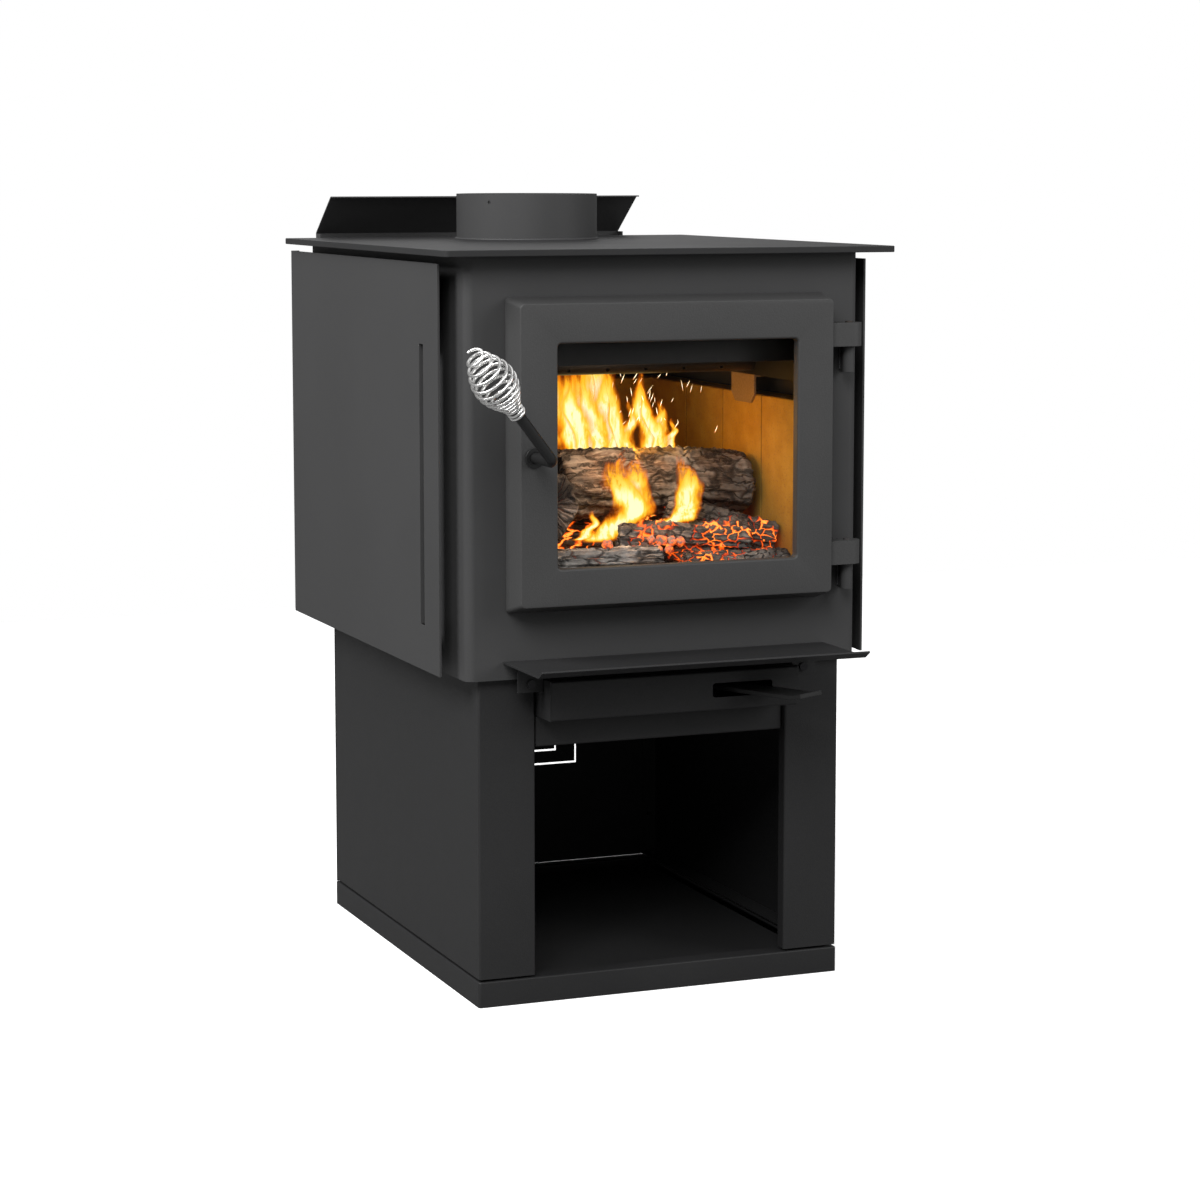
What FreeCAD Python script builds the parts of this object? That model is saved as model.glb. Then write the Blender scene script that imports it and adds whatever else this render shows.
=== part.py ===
"""Freestanding wood burning stove on a pedestal, built from separate named pieces.

Millimetres. +Z is up, the door faces -Y and the hinges are at +X. The origin is the centre of the
underside of the base tray. Every size is a cell of the sheet "Sizes"; places are expressions of
those cells.
"""
import FreeCAD, Part
import math
import os
import re
import Sketcher

V = FreeCAD.Vector
FUNCTIONS = {"sin", "cos", "tan", "atan", "sqrt", "min", "max", "abs"}

document = FreeCAD.newDocument("wood_stove")
sheet = document.addObject("Spreadsheet::Sheet", "Sizes")
nodes = []

SIZES = {
    # base tray and its floor
    "tray_width": 402.6, "tray_depth": 492.4, "tray_height": 26.4, "tray_sheet": 2.0,
    "back_gap": 0.3,
    "tray_corner": 3.0, "tray_edge": 1.6, "tray_flange": 22.0,
    "floor_level": 19.0, "floor_sheet": 1.5, "floor_clearance": 1.0,
    # pedestal
    "pedestal_width": 401.0, "pedestal_depth": 491.0, "pedestal_height": 308.5, "foot_gap": 2.6,
    "pedestal_sheet": 1.6, "leg_width": 61.0, "leg_return": 14.0, "rear_flange": 16.0,
    "seat_flange": 20.0, "bend_radius": 0.8, "washer_radius": 8.0,
    "knockout_width": 194.8, "knockout_rise": 115.5, "knockout_height": 132.0,
    "knockout_margin": 25.6, "knockout_inset": 16.2, "knockout_slot": 2.3, "knockout_tab": 14.0,
    "cross_drop": 73.5, "cross_inset": 5.5, "cross_gap": 2.5, "cross_hem": 14.0,
    # firebox
    "firebox_width": 432.3, "firebox_depth": 518.1, "firebox_height": 424.2,
    "firebox_front": 254.6, "firebox_plate": 4.8, "firebox_corner": 10.0,
    "opening_width": 327.0, "opening_rise": 80.5, "opening_height": 289.0, "opening_corner": 9.0,
    "top_width": 490.9, "top_depth": 557.0, "top_front": 281.1, "top_plate": 6.5,
    "top_corner": 5.0,
    "collar_diameter": 158.0, "collar_wall": 2.5, "flue_step": 2.5, "collar_height": 50.5,
    "collar_back": 147.1,
    "collar_hole": 4.0, "collar_hole_drop": 9.0,
    # heat shields
    "shield_gap": 18.8, "shield_sheet": 1.25, "shield_rise": 2.7, "shield_height": 413.7,
    "shield_front": 230.6, "shield_depth": 513.3, "shield_hem": 10.0,
    "vent_front": 185.3, "vent_width": 12.9, "vent_rise": 46.5, "vent_height": 285.4,
    "vent_lip": 6.0, "bracket_setback": 90.0,
    "bracket_width": 24.0, "bracket_sheet": 2.0, "bracket_foot": 16.0, "bracket_inset": 30.0,
    "rear_width": 378.2, "rear_gap": 74.4, "rear_sheet": 1.5, "rear_rise": 8.0,
    "rear_height": 427.1, "deflector_reach": 57.7, "deflector_height": 42.3,
    "deflector_lip": 8.0, "rear_side_flange": 15.0,
    # ash lip and air control
    "lip_width": 355.0, "lip_sheet": 2.0, "lip_rise": 18.9, "lip_reach": 99.5,
    "lip_setback": 1.4, "lip_flange": 10.5, "lip_upturn": 6.6,
    "ear_width": 27.0, "ear_height": 20.0, "ear_setback": 8.0, "ear_gap": 0.6, "ear_drop": 12.5,
    "air_box_width": 274.8, "air_box_front": 28.4, "air_box_depth": 83.0,
    "air_box_height": 40.5, "air_box_sheet": 1.6, "air_box_lap": 8.0,
    "slot_left": 40.4, "slot_width": 67.1, "slot_rise": 13.3, "slot_height": 14.9,
    "slot_corner": 3.0, "inlet_width": 120.0, "inlet_height": 22.0,
    "pivot_right": 59.4, "pivot_back": 53.4, "lever_width": 35.0, "lever_thick": 4.5,
    "lever_reach": 134.0, "lever_swing": 27.0, "lever_rise": 17.0, "lever_tip": 12.0,
    "lever_tip_lift": 3.0, "pivot_radius": 5.0, "running_clearance": 0.05,
    "bush_height": 9.0, "bush_wall": 4.0,
    "port_centre": 46.0, "port_length": 34.0, "port_width": 20.0, "damper_overlap": 4.0,
    "damper_thick": 2.5, "damper_gap": 0.5, "damper_corner": 3.0,
    # combustion chamber
    "brick_thick": 32.0, "brick_width": 101.6, "brick_height": 228.6, "brick_joint": 0.6,
    "brick_back_gap": 16.7, "brick_chamfer": 1.2, "retainer_sheet": 3.0,
    "retainer_height": 22.0, "retainer_width": 60.0, "retainer_lap": 10.0, "retainer_place": 2.58,
    "airwash_rise": 312.5, "airwash_height": 62.0, "airwash_gap": 8.0, "airwash_plate": 3.0,
    "duct_width": 120.0, "manifold_setback": 40.0,
    "manifold_depth": 40.0, "manifold_height": 34.0, "manifold_plate": 3.0,
    "tube_diameter": 25.4, "tube_wall": 2.0, "tube_pitch": 118.0, "tube_jet": 4.0,
    "tube_jet_pitch": 44.0, "tube_setback": 60.0, "tube_play": 0.2, "hood_margin": 6.0,
    "hood_rise": 12.0, "hood_wall": 2.0,
    "pilot_pitch": 12.0, "pilot_jet": 6.0,
    "baffle_thick": 32.0, "blanket_thick": 12.0,
    # door
    "door_width": 341.0, "door_height": 301.2, "door_rise": 76.5, "door_thick": 33.0,
    "door_gap": 2.4, "door_flare_side": 4.0, "door_flare_top": 5.8, "door_flare_low": 9.0,
    "door_face_edge": 1.2, "door_corner": 5.0,
    "window_width": 262.0, "window_height": 224.6, "window_rise": 37.2, "window_corner": 4.0,
    "window_edge": 2.4, "window_lip": 11.0, "glass_thick": 5.0, "glass_overlap": 12.0,
    "recess_gap": 2.5, "gasket_thick": 2.0, "rope_width": 8.0, "rope_groove": 3.0,
    "rope_rim": 2.0, "rope_gap": 0.3, "retainer_bar": 14.0, "retainer_plate": 2.0,
    "retainer_screw_length": 6.0,
    "hinge_inset": 18.65, "hinge_forward": 15.4, "lug_height": 24.5, "lug_thick": 26.0,
    "hinge_low": 103.0, "hinge_spacing": 225.2, "barrel_diameter": 12.5,
    "barrel_height": 26.0, "barrel_gap": 1.0, "pin_diameter": 8.0, "pin_head": 1.2,
    "web_thick": 5.0,
    # handle
    "shaft_diameter": 11.0, "shaft_left": 155.9, "shaft_rise": 226.2, "elbow_forward": 87.0,
    "elbow_radius": 12.0, "rod_length": 92.0, "rod_tilt": 42.4, "rod_lean": 19.6,
    "escutcheon_diameter": 20.5, "escutcheon_proud": 2.5,
    "wire_diameter": 3.2, "grip_start": 72.0, "grip_length": 88.0, "grip_base": 18.4,
    "grip_belly": 45.0, "grip_tip": 17.0, "grip_turns": 13.0, "grip_tight": 3.6,
    "finger_width": 11.0, "finger_reach": 24.0, "finger_thick": 6.0, "finger_clearance": 0.4,
    "finger_hub": 14.0,
    "spigot_diameter": 8.0, "keeper_inset": 1.0,
    "keeper_thick": 1.6, "keeper_width": 14.0, "keeper_height": 70.0,
    "nut_across": 12.0, "nut_thick": 5.0,
    # fasteners
    "screw_shank": 4.0, "screw_head": 9.0, "screw_head_height": 2.6, "screw_length": 8.0,
    "wall_screw_length": 6.0,
    "screw_clearance": 0.25, "screw_inset": 9.0, "foot_screw_length": 10.0,
    "short_screw_length": 5.0,
    "lip_screw_share": 0.42, "cross_screw_share": 0.36, "clip_screw_share": 0.36,
}

for row, (word, size) in enumerate(SIZES.items(), 1):
    sheet.set(f"A{row}", word)
    sheet.set(f"B{row}", str(size))
    sheet.setAlias(f"B{row}", word)
document.recompute()


def bind(text):
    """Expression text with every size word pointed at its cell."""
    def cell(match):
        word = match.group(0)
        return word if word in FUNCTIONS else f"Sizes.{word}"
    return re.sub(r"[a-z][a-z_0-9]*", cell, str(text))


def number(text):
    """The value that an expression has now."""
    return float(sheet.evalExpression(bind(text)))


# Places that several pieces share.
PEDESTAL_LOW = "(tray_height + foot_gap)"
FIREBOX_LOW = f"({PEDESTAL_LOW} + pedestal_height)"
FIREBOX_TOP = f"({FIREBOX_LOW} + firebox_height)"
LID_TOP = f"({FIREBOX_TOP} + top_plate)"
SIDE = "(firebox_width / 2)"
FRONT = "(0 - firebox_front)"
BACK = "(firebox_depth - firebox_front)"
INNER_SIDE = "(firebox_width / 2 - firebox_plate)"
INNER_FRONT = "(firebox_plate - firebox_front)"
INNER_BACK = "(firebox_depth - firebox_front - firebox_plate)"
FLOOR_TOP = f"({FIREBOX_LOW} + firebox_plate)"
BRICK_BED = f"({FLOOR_TOP} + brick_thick)"
DOOR_LOW = f"({FIREBOX_LOW} + door_rise)"
DOOR_BACK = f"({FRONT} - door_gap)"
DOOR_FACE = f"({DOOR_BACK} - door_thick)"
WINDOW_LOW = f"({DOOR_LOW} + window_rise)"
HINGE_X = f"({SIDE} - hinge_inset)"
HINGE_Y = f"({FRONT} - hinge_forward)"
SHAFT_X = "(0 - shaft_left)"
SHAFT_Z = f"({FIREBOX_LOW} + shaft_rise)"
AIR_BOX_LOW = f"({FIREBOX_LOW} - air_box_height)"
AIR_BOX_FRONT = f"({FRONT} - air_box_front)"
AIR_BOX_BACK = f"({AIR_BOX_FRONT} + air_box_depth)"
PIVOT_Y = f"({AIR_BOX_FRONT} + pivot_back)"
LEVER_LOW = f"({AIR_BOX_LOW} + lever_rise)"
GLASS_BACK = f"({DOOR_FACE} + window_lip + gasket_thick + glass_thick)"


def add(kind, name):
    """A new document object with its own label."""
    thing = document.addObject(kind, name)
    thing.Label = name
    return thing


def keep(thing, name):
    """Names a finished sub-part and puts it on the list to write."""
    thing.Label = name
    nodes.append((name, thing))
    return thing


def box(name, low, high):
    """Block between two corners, each given as three expressions."""
    block = add("Part::Box", name)
    for size, axis, start, end in zip(("Length", "Width", "Height"), "xyz", low, high):
        block.setExpression(size, bind(f"({end}) - ({start})"))
        block.setExpression(f"Placement.Base.{axis}", bind(start))
    return block


def cylinder(name, start, way, radius, length):
    """Round bar from start along way."""
    bar = add("Part::Cylinder", name)
    bar.Placement = FreeCAD.Placement(V(), FreeCAD.Rotation(V(0, 0, 1), V(*way)))
    bar.setExpression("Radius", bind(radius))
    bar.setExpression("Height", bind(length))
    for axis, place in zip("xyz", start):
        bar.setExpression(f"Placement.Base.{axis}", bind(place))
    return bar


def fuse(name, pieces):
    joined = add("Part::MultiFuse", name)
    joined.Shapes = pieces
    joined.Refine = True
    return joined


def cut(name, base, tools):
    """Base less all the tools."""
    result = add("Part::Cut", name)
    result.Base = base
    result.Tool = tools[0] if len(tools) == 1 else fuse(f"{name}_tools", tools)
    return result


def group(name, pieces):
    """Separate solids kept in one node."""
    bundle = add("Part::Compound", name)
    bundle.Links = pieces
    return keep(bundle, name)


def turned(thing, axis_point, axis, angle):
    """The same piece turned about an axis; the turn is part of its placement."""
    spin = FreeCAD.Rotation(V(*axis), angle)
    centre = V(*[number(place) for place in axis_point])
    thing.Placement = FreeCAD.Placement(V(), spin, centre).multiply(thing.Placement)
    return thing


PLANES = {"z": "XY_Plane", "y": "XZ_Plane", "x": "YZ_Plane"}


def padded(name, along, low, high, outline):
    """Body padded from a closed outline, from low to high along one axis.

    The outline's two coordinates are (x, y) along z, (x, z) along y and (y, z) along x.
    """
    body = add("PartDesign::Body", name)
    sketch = body.newObject("Sketcher::SketchObject", f"{name}_outline")
    plane = next(item for item in body.Origin.OriginFeatures if item.Role == PLANES[along])
    sketch.AttachmentSupport = (plane, [""])
    sketch.MapMode = "FlatFace"
    sign = "0 -" if along == "y" else "0 +"
    sketch.setExpression("AttachmentOffset.Base.z", bind(f"{sign} ({low})"))
    spots = [V(number(u), number(v), 0) for u, v in outline]
    sides = [Part.LineSegment(a, b) for a, b in zip(spots, spots[1:] + spots[:1])]
    sketch.addGeometry(sides, False)
    for i, (u, v) in enumerate(outline):
        sketch.addConstraint(Sketcher.Constraint("Coincident", i, 2, (i + 1) % len(outline), 1))
        for kind, place, spot in (("DistanceX", u, spots[i].x), ("DistanceY", v, spots[i].y)):
            rule = sketch.addConstraint(Sketcher.Constraint(kind, -1, 1, i, 1, spot))
            sketch.setExpression(f"Constraints[{rule}]", bind(place))
    pad = body.newObject("PartDesign::Pad", f"{name}_pad")
    pad.Profile = sketch
    pad.Reversed = along == "y"
    pad.setExpression("Length", bind(f"({high}) - ({low})"))
    document.recompute()
    return body


def flat(spot, along):
    """The two coordinates of a point that an outline along this axis uses."""
    return {"z": (spot.x, spot.y), "y": (spot.x, spot.z), "x": (spot.y, spot.z)}[along]


def rounded(body, along, corners, radius):
    """Fillets the padded edges that stand over the given outline corners."""
    places = [(number(u), number(v)) for u, v in corners]
    names = []
    for i, edge in enumerate(body.Tip.Shape.Edges, 1):
        ends = [flat(vertex.Point, along) for vertex in edge.Vertexes]
        if len(ends) == 2 and math.dist(*ends) < 1e-4:
            if any(math.dist(ends[0], place) < 1e-3 for place in places):
                names.append(f"Edge{i}")
    before = body.Tip
    fillet = body.newObject("PartDesign::Fillet", f"{body.Label}_round")
    fillet.Base = (before, names)
    fillet.setExpression("Radius", bind(radius))
    document.recompute()
    return body


def folded(name, along, low, high, path, thick, bend="bend_radius"):
    """Folded sheet: a path of bends, one sheet thick on its left, with rounded bends."""
    spots = [V(number(u), number(v), 0) for u, v in path]
    ways = [(b - a).normalize() for a, b in zip(spots, spots[1:])]
    normals = [V(-way.y, way.x, 0) for way in ways]
    far = []
    for (u, v), before, after in zip(path, normals[:1] + normals, normals + normals[-1:]):
        shift = (before + after) * (1 / (1 + before.dot(after)))
        far.append((f"{u} + ({shift.x:.6f}) * {thick}", f"{v} + ({shift.y:.6f}) * {thick}"))
    body = padded(name, along, low, high, path + far[::-1])
    inner, outer = [], []
    for i in range(1, len(path) - 1):
        left = ways[i - 1].cross(ways[i]).z > 0
        inner.append(far[i] if left else path[i])
        outer.append(path[i] if left else far[i])
    if inner:
        rounded(body, along, inner, bend)
        rounded(body, along, outer, f"{bend} + {thick}")
    return body


def mirrored(name, source):
    """The same piece on the other side of the stove."""
    twin = add("Part::Mirroring", name)
    twin.Source = source
    twin.Normal = V(1, 0, 0)
    return twin


def screw_blanks(name, places, way, length):
    """Pan head screws: each head sits on its place and the shank runs along way."""
    back = tuple(-part for part in way)
    made = []
    for i, place in enumerate(places):
        head = cylinder(f"{name}_head_{i}", place, back, "screw_head / 2", "screw_head_height")
        shank = cylinder(f"{name}_shank_{i}", place, way, "screw_shank / 2", length)
        made.append(fuse(f"{name}_{i}", [head, shank]))
    return made


def screws(name, places, way, length="screw_length"):
    return group(name, screw_blanks(name, places, way, length))


def drilled(name, base, places, way, depth="screw_length"):
    """Clearance holes for screws, started a little above the seat."""
    tools = []
    for i, place in enumerate(places):
        radius = "screw_shank / 2 + screw_clearance"
        start = [f"{spot} - ({step})" for spot, step in zip(place, way)]
        tools.append(cylinder(f"{name}_hole_{i}", start, way, radius, f"{depth} + 2"))
    return cut(name, base, tools)


def block_outline(low, high):
    return [low, (high[0], low[1]), high, (low[0], high[1])]


# ---------------------------------------------------------------- base tray and pedestal

FEET = [(f"{sx} * (pedestal_width / 2 - pedestal_sheet - seat_flange / 2)",
         f"{sy} * (pedestal_depth / 2 - seat_flange)") for sx in (-1, 1) for sy in (-1, 1)]
FOOT_SCREWS = [(x, y, f"{PEDESTAL_LOW} + pedestal_sheet") for x, y in FEET]


def make_base_tray():
    """Shallow closed tray with a turned-in flange round its top."""
    half_x, half_y = "tray_width / 2", "tray_depth / 2"
    corners = block_outline((f"0 - {half_x}", f"0 - {half_y}"), (half_x, half_y))
    outer = padded("tray_outer", "z", "0", "tray_height", corners)
    rounded(outer, "z", corners, "tray_corner")
    top = number("tray_height")
    rim = [f"Edge{i}" for i, edge in enumerate(outer.Tip.Shape.Edges, 1)
           if all(abs(vertex.Z - top) < 1e-6 for vertex in edge.Vertexes)]
    before = outer.Tip
    soft = outer.newObject("PartDesign::Fillet", "tray_rim")
    soft.Base = (before, rim)
    soft.setExpression("Radius", bind("tray_edge"))
    inside_x, inside_y = f"({half_x} - tray_sheet)", f"({half_y} - tray_sheet)"
    hollow = box("tray_hollow", (f"0 - {inside_x}", f"0 - {inside_y}", "tray_sheet"),
                 (inside_x, inside_y, "tray_height - tray_sheet"))
    mouth_x, mouth_y = f"({half_x} - tray_flange)", f"({half_y} - tray_flange)"
    mouth = box("tray_mouth", (f"0 - {mouth_x}", f"0 - {mouth_y}", "tray_sheet"),
                (mouth_x, mouth_y, "tray_height + 1"))
    shell = cut("tray_shell", outer, [hollow, mouth])
    keep(drilled("base_tray", shell, FOOT_SCREWS, (0, 0, -1), "foot_screw_length"), "base_tray")


def make_floor_plate():
    """Inverted pan that lies in the tray and makes the floor of the wood store."""
    half_x = "(tray_width / 2 - tray_flange - floor_clearance)"
    half_y = "(tray_depth / 2 - tray_flange - floor_clearance)"
    pan = box("floor_outer", (f"0 - {half_x}", f"0 - {half_y}", "tray_sheet"),
              (half_x, half_y, "floor_level"))
    under = box("floor_under", (f"floor_sheet - {half_x}", f"floor_sheet - {half_y}", "tray_sheet - 1"),
                (f"{half_x} - floor_sheet", f"{half_y} - floor_sheet", "floor_level - floor_sheet"))
    keep(cut("floor_plate", pan, [under]), "floor_plate")


def make_foot_washers():
    """Washers that hold the pedestal just off the tray."""
    rings = []
    for i, (x, y) in enumerate(FEET):
        disc = cylinder(f"washer_disc_{i}", (x, y, "tray_height"), (0, 0, 1), "washer_radius", "foot_gap")
        bore = cylinder(f"washer_bore_{i}", (x, y, "tray_height - 1"), (0, 0, 1),
                        "screw_shank / 2 + screw_clearance", "foot_gap + 2")
        rings.append(cut(f"washer_{i}", disc, [bore]))
    group("pedestal_washers", rings)
    screws("pedestal_floor_screws", FOOT_SCREWS, (0, 0, -1), "foot_screw_length")


BACK_SHARES = (0.15, 0.5, 0.85)
BACK_SCREWS = [(f"{side} * (pedestal_width / 2 - pedestal_sheet - screw_inset)",
                "pedestal_depth / 2", f"{PEDESTAL_LOW} + {share} * pedestal_height")
               for side in (-1, 1) for share in BACK_SHARES]


def make_pedestal_side():
    """Side of the pedestal: the front leg, the side wall and the rear flange are one sheet."""
    edge, rear = "(0 - pedestal_width / 2)", "(pedestal_depth / 2 - pedestal_sheet)"
    front = "(0 - pedestal_depth / 2)"
    path = [(f"{edge} + rear_flange", rear), (edge, rear), (edge, front),
            (f"{edge} + leg_width", front), (f"{edge} + leg_width", f"{front} + leg_return")]
    wall = folded("pedestal_wall", "z", PEDESTAL_LOW, FIREBOX_LOW, path, "pedestal_sheet")
    inside = f"{edge} + pedestal_sheet"
    levels = ((PEDESTAL_LOW, f"{PEDESTAL_LOW} + pedestal_sheet"),
              (f"{FIREBOX_LOW} - pedestal_sheet", FIREBOX_LOW))
    flanges = [box(f"pedestal_flange_{i}", (inside, f"{front} + leg_return", low),
                   (f"{inside} + seat_flange", f"{rear} - pedestal_sheet", high))
               for i, (low, high) in enumerate(levels)]
    side = fuse("pedestal_side_blank", [wall] + flanges)
    side = drilled("pedestal_side_floor_holes", side, FOOT_SCREWS[:2], (0, 0, -1), "foot_screw_length")
    side = drilled("pedestal_left", side, BACK_SCREWS[:3], (0, -1, 0))
    keep(side, "pedestal_left")
    keep(mirrored("pedestal_right", side), "pedestal_right")



def slot_frame(name, half_width, low, high):
    """Rectangle of thin slots through the rear panel, broken by tabs in its top and bottom runs."""
    start_y, end_y = "pedestal_depth / 2 - pedestal_sheet - 1", "pedestal_depth / 2 + 1"
    tools = []
    for side in (-1, 1):
        edges = sorted((f"{side} * {half_width}", f"{side} * ({half_width} - knockout_slot)"), key=number)
        tools.append(box(f"{name}_upright_{side}", (edges[0], start_y, low), (edges[1], end_y, high)))
        runs = sorted((f"{side} * {half_width}", f"{side} * knockout_tab / 2"), key=number)
        for level, base in (("low", low), ("high", f"{high} - knockout_slot")):
            tools.append(box(f"{name}_{level}_{side}", (runs[0], start_y, base),
                             (runs[1], end_y, f"{base} + knockout_slot")))
    return tools


def make_pedestal_back():
    """Rear panel with a knock-out for an outside air duct, one size inside the other."""
    half, back = "(pedestal_width / 2)", "(pedestal_depth / 2)"
    low = f"({PEDESTAL_LOW} + knockout_rise)"
    high = f"({low} + knockout_height)"
    panel = box("pedestal_back_blank", (f"0 - {half}", f"{back} - pedestal_sheet", "tray_height + back_gap"),
                (half, back, FIREBOX_LOW))
    outer = slot_frame("knockout_outer", "(knockout_width / 2)", low, high)
    inner = slot_frame("knockout_inner", "(knockout_width / 2 - knockout_margin)",
                       f"({low} + knockout_inset)", f"({high} - knockout_inset)")
    panel = cut("pedestal_back_slotted", panel, outer + inner)
    keep(drilled("pedestal_back", panel, BACK_SCREWS, (0, -1, 0)), "pedestal_back")
    screws("pedestal_back_screws", BACK_SCREWS, (0, -1, 0))


CROSS_FRONT = "(cross_inset - pedestal_depth / 2)"
CROSS_SCREWS = [(f"{side} * air_box_width * cross_screw_share", f"{CROSS_FRONT} + cross_hem / 2",
                 f"{AIR_BOX_LOW} - pedestal_sheet") for side in (-1, 1)]


def make_cross_panel():
    """Hemmed panel that closes the front below the air box, between the legs."""
    half = "(pedestal_width / 2 - leg_width - cross_gap)"
    low = f"({FIREBOX_LOW} - cross_drop)"
    path = [(f"{CROSS_FRONT} + cross_hem", AIR_BOX_LOW), (CROSS_FRONT, AIR_BOX_LOW),
            (CROSS_FRONT, low), (f"{CROSS_FRONT} + cross_hem", low)]
    panel = folded("cross_panel_sheet", "x", f"0 - {half}", half, path, "pedestal_sheet")
    keep(drilled("cross_panel", panel, CROSS_SCREWS, (0, 0, 1)), "cross_panel")
    screws("cross_panel_screws", CROSS_SCREWS, (0, 0, 1), "short_screw_length")


# ---------------------------------------------------------------- firebox shell

PORT_X = "(pivot_right - port_centre)"


def make_firebox():
    """Front and sides bent from one plate, with the door opening; floor and back set in."""
    path = [(f"0 - {SIDE}", INNER_BACK), (f"0 - {SIDE}", FRONT), (SIDE, FRONT), (SIDE, INNER_BACK)]
    wrap = folded("firebox_wrap_plate", "z", FIREBOX_LOW, FIREBOX_TOP, path, "firebox_plate",
                  "firebox_corner - firebox_plate")
    low = f"({FIREBOX_LOW} + opening_rise)"
    corners = block_outline(("0 - opening_width / 2", low), ("opening_width / 2", f"{low} + opening_height"))
    opening = padded("firebox_opening", "y", f"{FRONT} - 1", f"{INNER_FRONT} + 1", corners)
    rounded(opening, "y", corners, "opening_corner")
    wrap = cut("firebox_wrap_open", wrap, [opening])
    wrap = drilled("wrap_drilled_left", wrap, side_wall_places(-1), (1, 0, 0), "wall_screw_length")
    wrap = drilled("wrap_drilled_right", wrap, side_wall_places(1), (-1, 0, 0), "wall_screw_length")
    keep(wrap, "firebox_wrap")
    port = box("air_port", (f"{PORT_X} - port_length / 2", f"{PIVOT_Y} - port_width / 2",
                            f"{FIREBOX_LOW} - 1"),
               (f"{PORT_X} + port_length / 2", f"{PIVOT_Y} + port_width / 2", f"{FLOOR_TOP} + 1"))
    corners = block_outline((f"0 - {INNER_SIDE}", INNER_FRONT), (INNER_SIDE, INNER_BACK))
    floor = padded("firebox_floor_plate", "z", FIREBOX_LOW, FLOOR_TOP, corners)
    rounded(floor, "z", corners[:2], "firebox_corner - firebox_plate")
    keep(cut("firebox_floor", floor, [port]), "firebox_floor")
    back = box("firebox_back_plate", (f"0 - {SIDE}", INNER_BACK, FIREBOX_LOW), (SIDE, BACK, FIREBOX_TOP))
    keep(drilled("firebox_back_drilled", back, rear_wall_places(), (0, -1, 0), "wall_screw_length"),
         "firebox_back")


COLLAR_HOLES = 3
COLLAR_HOLE_START = 218.0


def make_top():
    """Cooktop plate with the flue hole, and the flue collar welded on it."""
    front = "(0 - top_front)"
    corners = block_outline(("0 - top_width / 2", front), ("top_width / 2", f"{front} + top_depth"))
    lid = padded("top_blank", "z", FIREBOX_TOP, LID_TOP, corners)
    rounded(lid, "z", corners, "top_corner")
    bore = "collar_diameter / 2 - collar_wall"
    hole = cylinder("flue_hole", ("0", "collar_back", f"{FIREBOX_TOP} - 1"), (0, 0, 1), f"{bore} - flue_step",
                    "top_plate + 2")
    keep(cut("top_plate", lid, [hole]), "top_plate")
    ring = cylinder("collar_outer", ("0", "collar_back", LID_TOP), (0, 0, 1), "collar_diameter / 2",
                    "collar_height")
    inside = cylinder("collar_bore", ("0", "collar_back", f"{LID_TOP} - 1"), (0, 0, 1), bore,
                      "collar_height + 2")
    holes = []
    for i in range(COLLAR_HOLES):
        angle = math.radians(COLLAR_HOLE_START + 360 / COLLAR_HOLES * i)
        way = (math.cos(angle), math.sin(angle), 0)
        holes.append(cylinder(f"collar_hole_{i}",
                              ("0", "collar_back", f"{LID_TOP} + collar_height - collar_hole_drop"),
                              way, "collar_hole / 2", "collar_diameter"))
    keep(cut("flue_collar", ring, [inside] + holes), "flue_collar")


# ---------------------------------------------------------------- heat shields

SHIELD_X = f"({SIDE} + shield_gap)"
SHIELD_LOW = f"({FIREBOX_LOW} + shield_rise)"
BRACKET_LEVELS = [f"({SHIELD_LOW} + bracket_inset)", f"({SHIELD_LOW} + shield_height - bracket_inset)"]
BRACKET_SPOTS = ["(bracket_setback - shield_front)", "(shield_depth - shield_front - bracket_setback)"]
REAR_Y = f"({BACK} + rear_gap)"
REAR_LOW = f"({FIREBOX_LOW} + rear_rise)"
REAR_LEVELS = [f"({REAR_LOW} + bracket_inset)", f"({REAR_LOW} + rear_height - 2 * bracket_inset)"]
REAR_SPOTS = ["(0 - rear_width / 4)", "(rear_width / 4)"]


def z_bracket(name, wall, reach, spot, level, across):
    """Web over the gap between a wall and a shield, with a foot turned each way at its ends."""
    spans = [((wall, f"{wall} + bracket_sheet"), (spot, f"{spot} + bracket_foot")),
             ((wall, reach), (f"{spot} - bracket_sheet", spot)),
             ((f"{reach} - bracket_sheet", reach), (f"{spot} - bracket_foot", spot))]
    blocks = []
    for i, (over, beside) in enumerate(spans):
        first, second = (over, beside) if across == "x" else (beside, over)
        low = (first[0], second[0], f"{level} - bracket_width / 2")
        high = (first[1], second[1], f"{level} + bracket_width / 2")
        blocks.append(box(f"{name}_part_{i}", low, high))
    return fuse(f"{name}_blank", blocks)


def side_wall_places(side):
    """Seats of the screws through the brackets' feet into the firebox side."""
    return [(f"{side} * ({SIDE} + bracket_sheet)", f"{spot} + bracket_foot / 2", level)
            for spot in BRACKET_SPOTS for level in BRACKET_LEVELS]


def rear_wall_places():
    """Seats of the screws through the rear brackets into the firebox back."""
    return [(f"{spot} + bracket_foot / 2", f"{BACK} + bracket_sheet", level)
            for spot in REAR_SPOTS for level in REAR_LEVELS]


def rear_shield_places():
    """Seats of the screws through the rear shield into its brackets."""
    return [(f"{spot} - bracket_foot / 2", f"{REAR_Y} + rear_sheet", level)
            for spot in REAR_SPOTS for level in REAR_LEVELS]


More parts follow.
